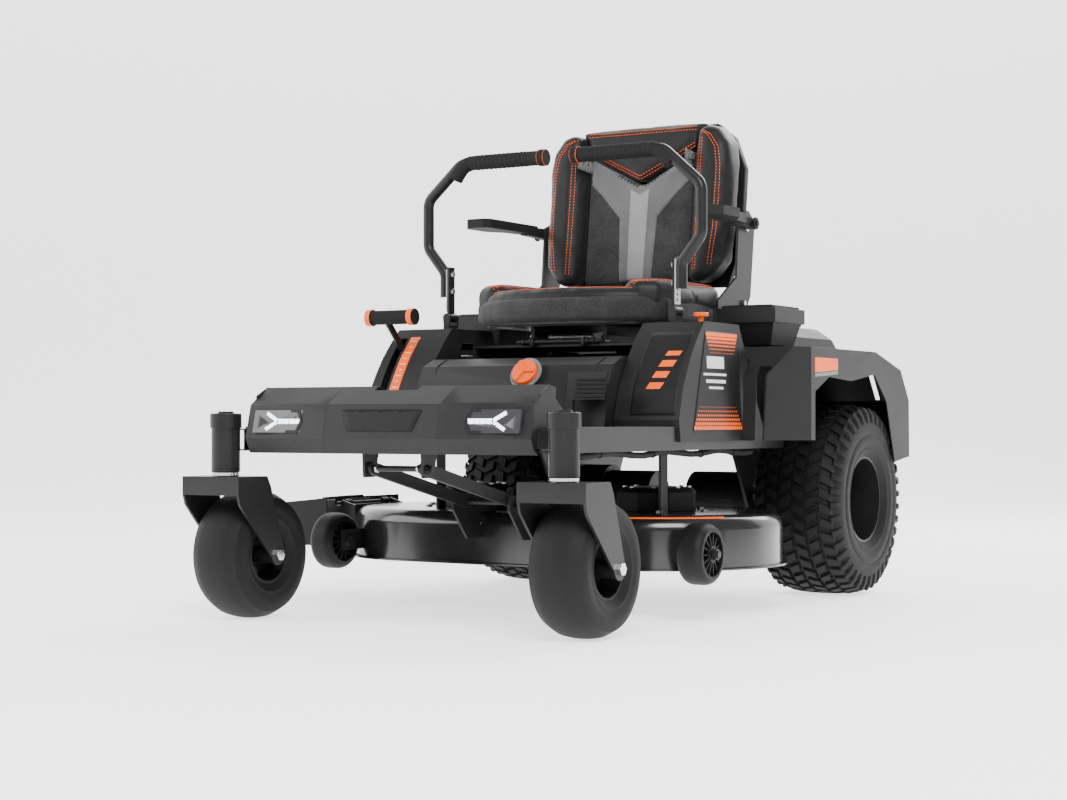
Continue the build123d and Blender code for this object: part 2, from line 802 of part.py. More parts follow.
with BuildPart() as chute_lugs:
    chute_hinge_x = blade_right_x - blade_shell_r - side_gap - chute_hinge_r
    for lug_y in (chute_front_y + 50, chute_back_y - 50):
        with BuildSketch(facing(lug_y)):
            Polygon((chute_hinge_x, chute_hinge_z + 8), (chute_hinge_x + 40, deck_top_z),
                    (chute_hinge_x + 40, deck_top_z - 2 * deck_edge_r), (chute_hinge_x, chute_hinge_z - 8),
                    align=None)
            with Locations((chute_hinge_x, chute_hinge_z)):
                Circle(chute_hinge_r + 3)
            with Locations((chute_hinge_x, chute_hinge_z)):
                Circle(chute_hinge_r, mode=Mode.SUBTRACT)
        extrude(amount=-plate)
    with BuildSketch(Plane.XY.offset(deck_lip_z)):
        deck_outline(0)
    extrude(amount=deck_top_z - deck_lip_z - deck_edge_r, mode=Mode.SUBTRACT)
    add(deck_shell.part, mode=Mode.SUBTRACT)
    with BuildSketch(facing(chute_front_y + 30)):
        with Locations((chute_hinge_x, chute_hinge_z)):
            Circle(chute_hinge_r)
    extrude(amount=-(chute_back_y - chute_front_y - 60))

keep("deck_shell", group(deck_shell.part))
keep("deck_brackets", group(
    *gauge_brackets,
    *both(hang_bar.part),
    *both(front_lug.part),
    chute_lugs.part,
))

deck_motors = []
blades = []
for name, x, y in (("left", blade_left_x, blade_left_y), ("right", blade_right_x, blade_right_y)):
    with BuildPart() as deck_motor:
        with BuildSketch(Plane.XY.offset(deck_top_z)):
            with Locations((x, y)):
                RegularPolygon(deck_motor_r, 8)
                Circle(spindle_shaft_r + running_clear, mode=Mode.SUBTRACT)
        extrude(amount=deck_motor_h)
        chamfer(deck_motor.faces().sort_by(Axis.Z)[-1].outer_wire().edges(), length=10)
        with BuildSketch(Plane.XY.offset(deck_top_z + deck_motor_h - 12)):
            with Locations((x, y)):
                Circle(spindle_shaft_r + plate)
        extrude(amount=12)
    deck_motors.append(deck_motor.part)
    with BuildPart() as blade:
        with BuildSketch(Plane.XY.offset(blade_z)):
            with Locations((x, y)):
                Rectangle(2 * blade_r, blade_w)
        extrude(amount=blade_t)
        with BuildSketch(facing(y - blade_w / 2)):
            for side in (LEFT, RIGHT):
                with BuildLine():
                    Polyline(
                        (x + side * blade_r, blade_z + blade_t),
                        (x + side * (blade_r - 90), blade_z + blade_t),
                        (x + side * (blade_r - 70), blade_z + 4 * blade_t),
                        (x + side * (blade_r - 6), blade_z + 4 * blade_t),
                        close=True,
                    )
                make_face()
        extrude(amount=-blade_t)
        with BuildSketch(Plane.XY.offset(blade_z - 12)):
            with Locations((x, y)):
                RegularPolygon(spindle_shaft_r + plate, 6)
        extrude(amount=12)
        with BuildSketch(Plane.XY.offset(blade_z)):
            with Locations((x, y)):
                Circle(spindle_shaft_r)
        extrude(amount=deck_top_z + deck_motor_h - 14 - blade_z)
    blades.append(blade.part)
keep("deck_motors", group(*deck_motors))
keep("blade_left", blades[0])
keep("blade_right", blades[1])

with BuildPart() as gauge_wheel:
    with BuildSketch(Plane(origin=(gauge_x, gauge_y, gauge_z), x_dir=(1, 0, 0), z_dir=(0, -1, 0))):
        half = gauge_w / 2
        with BuildLine():
            Line((-half, gauge_bolt_r + running_clear), (half, gauge_bolt_r + running_clear))
            Line((half, gauge_bolt_r + running_clear), (half, 18))
            Line((half, 18), (6, 18))
            Line((6, 18), (6, gauge_r - 18))
            Line((6, gauge_r - 18), (half, gauge_r - 18))
            Line((half, gauge_r - 18), (half, gauge_r - 10))
            Spline((half, gauge_r - 10), (half - 9, gauge_r - 2), (0, gauge_r), (-half + 9, gauge_r - 2),
                   (-half, gauge_r - 10))
            Line((-half, gauge_r - 10), (-half, gauge_r - 18))
            Line((-half, gauge_r - 18), (-6, gauge_r - 18))
            Line((-6, gauge_r - 18), (-6, 18))
            Line((-6, 18), (-half, 18))
            Line((-half, 18), (-half, gauge_bolt_r + running_clear))
        make_face()
    revolve(axis=Axis((gauge_x, gauge_y, gauge_z), (1, 0, 0)))
keep_pair("gauge_wheel", gauge_wheel.part)

# the chute: a hood that hangs from the hinge rod and swings up
with BuildPart() as chute:
    chute_len = chute_back_y - chute_front_y
    inner_x = blade_right_x - blade_shell_r - deck_lip_w - gap - 1
    outer_x = chute_hinge_x - chute_reach
    with BuildSketch(facing(chute_front_y)):
        with BuildLine():
            Polyline(
                (inner_x, chute_hinge_z + 14),
                (outer_x + 24, chute_hinge_z + 2),
                (outer_x, chute_hinge_z - 24),
                (outer_x - 16, chute_bottom_z),
                (inner_x, chute_bottom_z),
                close=True,
            )
        make_face()
    extrude(amount=-chute_len)
    with BuildSketch(facing(chute_front_y + wall)):
        with BuildLine():
            Polyline(
                (inner_x, chute_hinge_z + 14 - wall),
                (outer_x + 24 + wall / 2, chute_hinge_z + 2 - wall),
                (outer_x + wall, chute_hinge_z - 24 - wall / 2),
                (outer_x - 16 + wall, chute_bottom_z),
                (inner_x, chute_bottom_z),
                close=True,
            )
        make_face()
    extrude(amount=-(chute_len - 2 * wall), mode=Mode.SUBTRACT)
    for knuckle_y in (chute_front_y + 62, chute_back_y - 62 - 24):
        with BuildSketch(facing(knuckle_y)):
            with BuildLine():
                Polyline(
                    (chute_hinge_x, chute_hinge_z - 8),
                    (chute_hinge_x + 7, chute_hinge_z + 2),
                    (chute_hinge_x, chute_hinge_z + 9),
                    (inner_x - 20, chute_hinge_z + 12),
                    (inner_x - 20, chute_hinge_z - 2),
                    close=True,
                )
            make_face()
            with Locations((chute_hinge_x, chute_hinge_z)):
                Circle(chute_hinge_r + 4)
                Circle(chute_hinge_r + running_clear, mode=Mode.SUBTRACT)
        extrude(amount=-24)
    for rib in range(5):
        with BuildSketch(facing(chute_front_y + 90 + 18 * rib)):
            with BuildLine():
                Polyline(
                    (inner_x - 12, chute_hinge_z + 8),
                    (inner_x - 12, chute_hinge_z + 17),
                    (inner_x - 80, chute_hinge_z + 11),
                    (inner_x - 80, chute_hinge_z + 4),
                    close=True,
                )
            make_face()
        extrude(amount=-5)
keep("discharge_chute", chute.part)

# ---- front links, which steady the deck from the front hanger ------------------------
with BuildPart() as front_link:
    link_angle = degrees(atan2(link_end_z - link_pin_z, link_end_y - link_pin_y))
    link_plane = Plane(
        origin=(link_x - lift_arm_t / 2, link_pin_y, link_pin_z),
        x_dir=(0, cos(radians(link_angle)), sin(radians(link_angle))),
        z_dir=(1, 0, 0),
    )
    with BuildSketch(link_plane):
        with Locations((link_len / 2, 0)):
            SlotOverall(link_len + 26, 26)
        Circle(lift_pin_r + running_clear, mode=Mode.SUBTRACT)
        with Locations((link_len, 0)):
            Circle(lift_pin_r, mode=Mode.SUBTRACT)
    extrude(amount=lift_arm_t)
with BuildPart() as link_rod:
    rod_half = link_x + lift_arm_t / 2 + side_gap + plate + side_gap
    with BuildSketch(across(-rod_half)):
        with Locations((link_end_y, link_end_z)):
            Circle(lift_pin_r)
    extrude(amount=2 * rod_half)
keep("front_links", group(*both(front_link.part), link_rod.part))

# ---- deck lift: shaft, rear arms and the hand lever ---------------------------------
with BuildPart() as lift_shaft:
    with BuildSketch(across(-rail_inner_x)):
        with Locations((lift_y, lift_z)):
            Circle(lift_shaft_r)
    extrude(amount=2 * rail_inner_x)

with BuildPart() as lift_arm:
    arm_plane = Plane(
        origin=(lift_arm_x - lift_arm_t / 2, lift_y, lift_z),
        x_dir=(0, cos(radians(arm_rest_angle)), sin(radians(arm_rest_angle))),
        z_dir=(1, 0, 0),
    )
    with BuildSketch(arm_plane):
        with Locations((lift_arm_len / 2, 0)):
            SlotOverall(lift_arm_len + 36, 36)
        Circle(lift_shaft_r, mode=Mode.SUBTRACT)
        with Locations((lift_arm_len, 0)):
            Circle(lift_pin_r, mode=Mode.SUBTRACT)
    extrude(amount=lift_arm_t)

with BuildPart() as lift_pin:
    with BuildSketch(across(lift_arm_x + lift_arm_t / 2 + 4)):
        with Locations((arm_end_y, arm_end_z)):
            Circle(lift_pin_r)
    extrude(amount=-(lift_arm_t + 4 + 2 * side_gap + plate + 4))

handle_dir = (0, cos(radians(handle_angle)), sin(radians(handle_angle)))
blade_root_x = -rail_inner_x + 2 * plate + side_gap + stem_r


def on_handle(x, r):
    """A point on the hand lever at x, r out from the lift shaft."""
    return (x, lift_y + r * handle_dir[1], lift_z + r * handle_dir[2])


with BuildPart() as hand_stem:
    with BuildLine():
        FilletPolyline(
            on_handle(blade_root_x, lift_shaft_r - 2),
            on_handle(blade_root_x, 200),
            on_handle(stem_x, 262),
            on_handle(stem_x, handle_r),
            radius=30,
        )
    with BuildSketch(Plane(origin=on_handle(blade_root_x, lift_shaft_r - 2), x_dir=(1, 0, 0), z_dir=handle_dir)):
        Circle(stem_r)
    sweep()

with BuildPart() as hand_bar:
    with BuildSketch(across(handle_mid_x - handle_len / 2 + 4)):
        with Locations(on_handle(0, handle_r)[1:]):
            Circle(bar_r)
    extrude(amount=handle_len - 8)

with BuildPart() as hand_lever:
    add(lift_shaft.part)
    add(hand_stem.part)
    add(hand_bar.part)
keep("lift_shaft", group(hand_lever.part, *both(lift_arm.part), *both(lift_pin.part)))

with BuildPart() as lift_grip:
    with BuildSketch(across(handle_mid_x - handle_len / 2)):
        with Locations(on_handle(0, handle_r)[1:]):
            Circle(grip_r)
    extrude(amount=handle_len)
    for ring_x in (handle_mid_x - handle_len / 2, handle_mid_x + handle_len / 2 - 14):
        with BuildSketch(across(ring_x)):
            with Locations(on_handle(0, handle_r)[1:]):
                Circle(grip_r + 2.5)
        extrude(amount=14)
    add(hand_lever.part, mode=Mode.SUBTRACT)
keep("lift_grip", group(lift_grip.part))

# ---- bodywork: front fascia, lamps, consoles, battery box ---------------------------
def fascia_outline(sweep, inset):
    """Side profile of the fascia as (y, z) points, fallen back by sweep, drawn in by inset."""
    return (
        (-14 + sweep + inset, 352 + inset / 2),
        (-29 + sweep + inset, 383),
        (-12 + sweep + inset, 451 - inset / 2),
        (48 + sweep / 2, 488 - inset),
        (72 + sweep / 2, 482 - inset),
        (72 + sweep / 2, 470 - inset),
        (48 + sweep / 2, 352 + inset / 2),
    )


def fascia_loft(x_from, x_to, sweep_from, sweep_to, inset):
    """Loft the fascia between two stations into the current part."""
    with BuildPart(mode=Mode.PRIVATE) as span:
        for x, sweep in ((x_from, sweep_from), (x_to, sweep_to)):
            with BuildSketch(across(x)):
                Polygon(*fascia_outline(sweep, inset), align=None)
        loft()
    return span.part


with BuildPart() as fascia_centre:
    add(fascia_loft(-fascia_seam_x, fascia_seam_x, 0, 0, 0))
    with BuildSketch(Plane.XY.offset(478)):
        with Locations((0, 70)):
            Rectangle(104, 70)
    extrude(amount=20, mode=Mode.SUBTRACT)
    add(fascia_loft(-fascia_seam_x - 1, fascia_seam_x + 1, 0, 0, wall), mode=Mode.SUBTRACT)
    with BuildSketch(across(-fascia_seam_x)):
        Polygon((48 - 30, 340), (90, 340), (90, 466), (48 - 30, 440), align=None)
    extrude(amount=2 * fascia_seam_x, mode=Mode.SUBTRACT)
keep("fascia_centre", fascia_centre.part)

lamp_mid_x = (lamp_inner_x + lamp_outer_x) / 2
lamp_z = 417.0
lamp_w = lamp_outer_x - lamp_inner_x
lamp_h = 46.0
with BuildPart() as fascia_end:
    add(fascia_loft(fascia_seam_x, fascia_end_x, 0, fascia_sweep, 0))
    with BuildSketch(across(fascia_end_x - wall)):
        Polygon((20, 352), (48, 352), (48, rail_top + floor_t + gap), (112, rail_top + floor_t + gap), (112, 436),
                (48, 484), (20, 470), align=None)
    extrude(amount=wall)
    add(fascia_loft(fascia_seam_x - 1, fascia_end_x - wall, 0, fascia_sweep, wall), mode=Mode.SUBTRACT)
    with BuildSketch(across(fascia_seam_x)):
        Polygon((18, 340), (110, 340), (110, 466), (18, 440), align=None)
    extrude(amount=fascia_end_x - wall - fascia_seam_x, mode=Mode.SUBTRACT)
    with BuildSketch(across(fascia_end_x - wall)):
        Polygon((beam_front_y - 1, 352), (beam_back_y + 1, 352), (beam_back_y + 1, rail_top + 1),
                (beam_front_y - 1, rail_top + 1), align=None)
        Polygon((beam_back_y, 340), (120, 340), (120, rail_top + floor_t + gap),
                (beam_back_y, rail_top + floor_t + gap), align=None)
    extrude(amount=wall, mode=Mode.SUBTRACT)
    with BuildSketch(facing(-60)):
        with Locations((lamp_mid_x, lamp_z)):
            Rectangle(lamp_w, lamp_h)
    extrude(amount=-70, mode=Mode.SUBTRACT)
keep("fascia_ends", group(*both(fascia_end.part)))

with BuildPart() as headlamp:
    with BuildSketch(across(lamp_inner_x)):
        Polygon((-21, lamp_z - lamp_h / 2), (-10, lamp_z + lamp_h / 2), (4, lamp_z + lamp_h / 2),
                (-2, lamp_z - lamp_h / 2), align=None)
    extrude(amount=lamp_w)
    with BuildSketch(facing(-60)):
        with Locations((lamp_mid_x - 6, lamp_z)):
            with GridLocations(20, 0, 4, 1):
                Rectangle(14, 12)
    extrude(amount=-44, mode=Mode.SUBTRACT)
keep("headlamps", group(*both(headlamp.part)))


def console_outline(inset):
    """Side profile of a console as (y, z) points, drawn in by inset."""
    return (
        (console_front_y + 4 + inset, 374),
        (console_front_y + inset, 420),
        (507 + inset, 483),
        (531 + inset, 525),
        (557 + inset, 564),
        (592 + inset, 604),
        (622 + inset * 0.8, console_top_z - inset),
        (796 - inset, console_top_z - inset),
        (913 - inset, 397),
        (915 - inset, 374),
    )


with BuildPart() as console_body:
    with BuildSketch(across(console_inner_x)):
        Polygon(*console_outline(0), align=None)
    extrude(amount=console_outer_x - console_inner_x)
    # the outer face leans in towards the top, and both front edges are bevelled
    with BuildSketch(facing(console_front_y - 20)):
        Polygon((console_outer_x - 9, 640), (console_outer_x + 20, 640), (console_outer_x + 20, 370),
                (console_outer_x, 372), align=None)
    extrude(amount=-500, mode=Mode.SUBTRACT)
    for corner_x, inward in ((console_inner_x, 1), (console_outer_x, -1)):
        with BuildSketch(Plane(origin=(corner_x, 497, 470), x_dir=(1, 0, 0), z_dir=(0, 0.58, 0.815))):
            Polygon((-inward, -70), (inward * 22, -70), (-inward, -22), align=None)
        extrude(amount=230, both=True, mode=Mode.SUBTRACT)
    with BuildSketch(across(console_inner_x + wall)):
        Polygon(*console_outline(wall)[:-3], (796, console_top_z - wall), (920, 397), (920, 374), align=None)
    extrude(amount=console_outer_x - console_inner_x - 2 * wall - 9, mode=Mode.SUBTRACT)
    with BuildSketch(Plane.XY.offset(360)):
        with Locations((console_inner_x + wall + 64, (console_front_y + 915) / 2)):
            Rectangle(128, 400)
    extrude(amount=40, mode=Mode.SUBTRACT)
    # the inner side stops above the frame's cross tubes and the lift shaft
    with BuildSketch(Plane.XY.offset(rail_bottom)):
        with Locations(((console_inner_x + rail_inner_x) / 2 - 1, (console_front_y + 915) / 2)):
            Rectangle(rail_inner_x - console_inner_x, 500)
    extrude(amount=rail_h + gap, mode=Mode.SUBTRACT)
    with BuildSketch(across(console_inner_x - 1)):
        with Locations((lever_y, mount_bar_top)):
            Rectangle(2 * mount_reach + 8, 2 * mount_bar_t + 8)
    extrude(amount=wall + 2, mode=Mode.SUBTRACT)
    # where the front corner is bevelled the skin stays, so open the rail's way only
    with BuildSketch(facing(console_front_y - 30)):
        with Locations((rail_mid_x, rail_z)):
            Rectangle(rail_w + 2 * gap, rail_h + 2 * gap)
    extrude(amount=-500, mode=Mode.SUBTRACT)
    with BuildSketch(Plane.XY.offset(console_top_z - 2 * wall)):
        with Locations((lever_x, lever_y)):
            SlotOverall(lever_slot_len, lever_slot_w, rotation=90)
    extrude(amount=4 * wall, mode=Mode.SUBTRACT)

with BuildPart() as console_left:
    add(console_body.part)
    with BuildSketch(Plane.XY.offset(console_top_z - 2 * wall)):
        with Locations((key_x, key_y)):
            Circle(key_r)
        with Locations((knob_x, knob_y)):
            Circle(knob_stem_r + gap)
    extrude(amount=4 * wall, mode=Mode.SUBTRACT)
keep("console_left", console_left.part)

slot_low = handle_angle + lift_swing + 2.5
slot_high = handle_angle - 4.5
with BuildPart() as console_right:
    add(mirror(console_body.part, about=Plane.YZ))
    with BuildSketch(across(stem_x - stem_r - side_gap)):
        Polygon(
            (lift_y + 200 * cos(radians(slot_low)), lift_z + 200 * sin(radians(slot_low))),
            (lift_y + 420 * cos(radians(slot_low)), lift_z + 420 * sin(radians(slot_low))),
            (lift_y + 420 * cos(radians(slot_high)), lift_z + 420 * sin(radians(slot_high))),
            (lift_y + 200 * cos(radians(slot_high)), lift_z + 200 * sin(radians(slot_high))),
            align=None,
        )
    extrude(amount=2 * (stem_r + side_gap), mode=Mode.SUBTRACT)
keep("console_right", console_right.part)

with BuildPart() as battery_box:
    with BuildSketch(across(-box_half_w)):
        with BuildLine():
            Polyline(
                (box_front_y, rail_top + floor_t),
                (470, 496),
                (494, 540),
                (536, 558),
                (686, 564),
                (686, rail_top + floor_t),
                close=True,
            )
        make_face()
    extrude(amount=2 * box_half_w)
    with BuildSketch(across(-box_half_w + wall)):
        with BuildLine():
            Polyline(
                (box_front_y + wall, rail_top),
                (470 + wall, 496 - wall / 2),
                (494 + wall / 2, 540 - wall),
                (536, 558 - wall),
                (690, 564 - wall),
                (690, rail_top),
                close=True,
            )
        make_face()
    extrude(amount=2 * (box_half_w - wall), mode=Mode.SUBTRACT)
    # raised collar of the charging port
    with BuildSketch(port_plane.offset(-20)):
        Circle(port_collar_r)
    extrude(amount=20)
    with BuildSketch(port_plane.offset(-20)):
        Circle(port_bore_r)
    extrude(amount=20, mode=Mode.SUBTRACT)
keep("battery_cover", group(battery_box.part.solids().sort_by(SortBy.VOLUME)[-1]))

with BuildPart() as charge_cap:
    with BuildSketch(port_plane.offset(-16)):
        Circle(port_bore_r - running_clear)
    extrude(amount=16 + gap)
    with BuildSketch(port_plane.offset(gap)):
        Circle(port_cap_r)
    extrude(amount=10)
    with BuildSketch(port_plane.offset(10 + gap)):
        with PolarLocations(port_cap_r / 2, 3):
            Rectangle(port_cap_r * 0.9, 7)
    extrude(amount=5)
keep("charge_cap", charge_cap.part)

# ---- controls -----------------------------------------------------------------------
with BuildPart() as pedal:
    with BuildSketch(across(pedal_x)):
        Polygon((424, 463), (430, 463), (442, 522), (436, 522), align=None)
    extrude(amount=pedal_w)
    with BuildSketch(across(pedal_x)):
        Polygon((430, 463), (450, 470), (452, 512), (442, 522), align=None)
    extrude(amount=plate)
    with BuildSketch(across(pedal_x)):
        Polygon((424, 463), (434, 463), (434, pedal_pivot_z), (426, pedal_pivot_z), align=None)
    extrude(amount=pedal_arm_w)
    with BuildSketch(across(pedal_x)):
        with Locations((pedal_pivot_y, pedal_pivot_z)):
            Circle(pedal_barrel_r)
    extrude(amount=pedal_arm_w)
    with BuildSketch(across(pedal_x)):
        with Locations((pedal_pivot_y, pedal_pivot_z)):
            Circle(pedal_pin_r + running_clear)
    extrude(amount=pedal_arm_w, mode=Mode.SUBTRACT)
keep("brake_pedal", pedal.part)

with BuildPart() as pedal_mount:
    for lug_x in (pedal_x - side_gap - plate, pedal_x + pedal_arm_w + side_gap):
        with BuildSketch(across(lug_x)):
            Polygon(
                (pedal_pivot_y - 12, rail_top + floor_t),
                (pedal_pivot_y + 12, rail_top + floor_t),
                (pedal_pivot_y + 8, pedal_pivot_z + 8),
                (pedal_pivot_y - 8, pedal_pivot_z + 8),
                align=None,
            )
        extrude(amount=plate)
    with BuildSketch(across(pedal_x - side_gap - plate)):
        with Locations((pedal_pivot_y, pedal_pivot_z)):
            Circle(pedal_pin_r)
    extrude(amount=pedal_arm_w + 2 * side_gap + 2 * plate)
keep("floor_pan", group(floor_pan.part, pedal_mount.part))

with BuildPart() as key_switch:
    with BuildSketch(Plane.XY.offset(console_top_z - 30)):
        with Locations((key_x, key_y)):
            Circle(key_r - gap)
    extrude(amount=30 + 4)
    with BuildSketch(Plane.XY.offset(console_top_z + 4)):
        with Locations((key_x, key_y)):
            Rectangle(3, 12)
    extrude(amount=16)
    with BuildSketch(Plane.XY.offset(console_top_z + 16)):
        with Locations((key_x, key_y)):
            Rectangle(3, 24)
    extrude(amount=16)
keep("key_switch", key_switch.part)

with BuildPart() as blade_knob:
    with BuildSketch(Plane.XY.offset(console_top_z - 34)):
        with Locations((knob_x, knob_y)):
            Circle(knob_stem_r)
    extrude(amount=34 + 16)
    with BuildSketch(Plane.XY.offset(console_top_z + 16)):
        with Locations((knob_x, knob_y)):
            Circle(17)
    extrude(amount=9)
    fillet(blade_knob.faces().sort_by(Axis.Z)[-1].edges(), radius=3)
keep("blade_knob", blade_knob.part)

# ---- fenders, rear cover, storage bins ----------------------------------------------
fender_skin = 3.0
with BuildPart() as fender:
    with BuildSketch(across(fender_inner_x)):
        Polygon((792, 375), (800, 520), (862, fender_top), (1300, fender_top), (1470, 545),
                (1528, 470), (1530, 330), (1428, 318), (1372, 318), (1372, 375), align=None)
    extrude(amount=fender_outer_x - fender_inner_x)
    with BuildSketch(Plane.XY.offset(300)):
        Polygon((455, 780), (560, 962), (560, 700), (455, 700), align=None)
    extrude(amount=300, mode=Mode.SUBTRACT)
    with BuildSketch(across(fender_inner_x - 1)):
        Polygon((792 + fender_skin, 300), (800 + fender_skin, 519), (862 + 2, fender_top - fender_skin),
                (1300, fender_top - fender_skin), (1469, 545 - fender_skin), (1528 - fender_skin, 469),
                (1530 - fender_skin, 300), align=None)
    extrude(amount=455 - fender_inner_x - 2, mode=Mode.SUBTRACT)
    with BuildSketch(Plane.XY.offset(300)):
        Polygon((440, 760), (455 - 2, 784), (fender_outer_x - fender_skin, 912), (fender_outer_x - fender_skin, 1526),
                (440, 1526), align=None)
    extrude(amount=fender_top - fender_skin - 300 - 42, mode=Mode.SUBTRACT)
    with BuildSketch(across(440)):
        Polygon((915, 500), (940, fender_top - fender_skin), (1300, fender_top - fender_skin),
                (1465, 540), (1465, 500), align=None)
    extrude(amount=fender_outer_x - fender_skin - 440, mode=Mode.SUBTRACT)
    with BuildSketch(across(fender_inner_x)):
        with BuildLine():
            Polyline((928, 300), (928, 485), (1010, 519), (1146, 512), (1291, 530), (1372, 466), (1428, 318),
                     (1428, 300), close=True)
        make_face()
    extrude(amount=300, mode=Mode.SUBTRACT)
    with BuildSketch(across(console_inner_x)):
        Polygon(*console_outline(-1), align=None)
    extrude(amount=console_outer_x + 1 - console_inner_x, mode=Mode.SUBTRACT)
fender_solid = fender.part.solids().sort_by(SortBy.VOLUME)[-1]
keep("fenders", group(*both(fender_solid)))

with BuildPart() as rear_cover:
    with BuildSketch(across(-rear_cover_half_w)):
        Polygon((rear_cover_front_y, fender_top + gap), (rear_cover_front_y + 70, rear_cover_top),
                (1440, rear_cover_top), (rear_cover_back_y - 30, 610), (rear_cover_back_y, fender_top + gap),
                align=None)
    extrude(amount=2 * rear_cover_half_w)
    top_edges = rear_cover.edges().filter_by(GeomType.LINE).filter_by(Axis.Y).group_by(Axis.Z)[-1]
    chamfer(top_edges, length=26)
    with BuildSketch(across(-rear_cover_half_w + wall)):
        Polygon((rear_cover_front_y + wall, fender_top), (rear_cover_front_y + 70, rear_cover_top - 30),
                (1436, rear_cover_top - 30), (rear_cover_back_y - wall - 2, fender_top), align=None)
    extrude(amount=2 * (rear_cover_half_w - wall), mode=Mode.SUBTRACT)
    with BuildSketch(across(-rear_cover_half_w + 32)):
        Polygon((rear_cover_front_y + 50, fender_top), (rear_cover_front_y + 74, rear_cover_top - wall),
                (1436, rear_cover_top - wall), (rear_cover_back_y - 60, fender_top), align=None)
    extrude(amount=2 * (rear_cover_half_w - 32), mode=Mode.SUBTRACT)
    for x in (-knuckle_x, knuckle_x):
        for ear_x in (x - 1.5 * knuckle_w - side_gap, x + knuckle_w / 2 + side_gap):
            with BuildSketch(across(ear_x)):
                Polygon((rear_cover_back_y - 24, 606), (cover_hinge_y, cover_hinge_z + 6),
                        (cover_hinge_y, cover_hinge_z - 6), (rear_cover_back_y - 8, 592), align=None)
                with Locations((cover_hinge_y, cover_hinge_z)):
                    Circle(cover_pin_r + 3)
                    Circle(cover_pin_r + running_clear, mode=Mode.SUBTRACT)
            extrude(amount=knuckle_w)
keep("rear_cover", rear_cover.part)

with BuildPart() as rear_body:
    with BuildSketch(Plane.XY.offset(rail_top)):
        with Locations((0, (rail_back_y + rear_cover_back_y) / 2)):
            Rectangle(2 * fender_inner_x, rear_cover_back_y - rail_back_y)
    extrude(amount=fender_top - rail_top)
    with BuildSketch(Plane.XY.offset(rail_top + wall)):
        with Locations((0, (rail_back_y + rear_cover_back_y) / 2)):
            Rectangle(2 * (fender_inner_x - wall), rear_cover_back_y - rail_back_y - 2 * wall)
    extrude(amount=fender_top - rail_top - 2 * wall, mode=Mode.SUBTRACT)
    with BuildSketch(Plane.XY.offset(fender_top - 2 * wall)):
        with Locations((0, (rear_cover_front_y + rear_cover_back_y) / 2)):
            Rectangle(2 * (fender_inner_x - wall), rear_cover_back_y - rear_cover_front_y - 2 * wall)
    extrude(amount=3 * wall, mode=Mode.SUBTRACT)
    for x in (-knuckle_x - knuckle_w / 2, knuckle_x - knuckle_w / 2):
        with BuildSketch(across(x)):
            Polygon((rear_cover_back_y, fender_top - 24), (rear_cover_back_y, fender_top),
                    (cover_hinge_y, cover_hinge_z + 5), (cover_hinge_y + 5, cover_hinge_z - 2), align=None)
            with Locations((cover_hinge_y, cover_hinge_z)):
                Circle(cover_pin_r + 3)
        extrude(amount=knuckle_w)
        with BuildSketch(across(x - knuckle_w - 2 * side_gap)):
            with Locations((cover_hinge_y, cover_hinge_z)):
                Circle(cover_pin_r)
        extrude(amount=3 * knuckle_w + 4 * side_gap)
keep("rear_body", rear_body.part)

with BuildPart() as storage_bin:
    bin_mid = ((bin_inner_x + bin_outer_x) / 2, (bin_front_y + bin_back_y) / 2)
    for inset, low in ((0, bin_bottom), (wall, bin_bottom + wall)):
        for level, grow in ((low, 16), (bin_top, 0)):
            with BuildSketch(Plane.XY.offset(level)):
                with Locations(bin_mid):
                    Rectangle(bin_outer_x - bin_inner_x - 8 - 2 * (grow + inset),
                              bin_back_y - bin_front_y - 8 - 2 * (grow + inset))
        loft(mode=Mode.ADD if inset == 0 else Mode.SUBTRACT)
    for x in (bin_mid[0] - lid_ear_x, bin_mid[0] + lid_ear_x):
        with BuildSketch(across(x - 5)):
            Polygon((bin_back_y - 10, lid_hinge_z - 16), (bin_back_y - 10, lid_hinge_z - 2),
                    (lid_hinge_y - 4, lid_hinge_z - 2), (lid_hinge_y, lid_hinge_z + 4),
                    (lid_hinge_y + 4, lid_hinge_z - 2), align=None)
            with Locations((lid_hinge_y, lid_hinge_z)):
                Circle(lid_pin_r + 2)
        extrude(amount=10)
        with BuildSketch(across(x - 18)):
            with Locations((lid_hinge_y, lid_hinge_z)):
                Circle(lid_pin_r)
        extrude(amount=36)
keep("storage_bins", group(*both(storage_bin.part)))

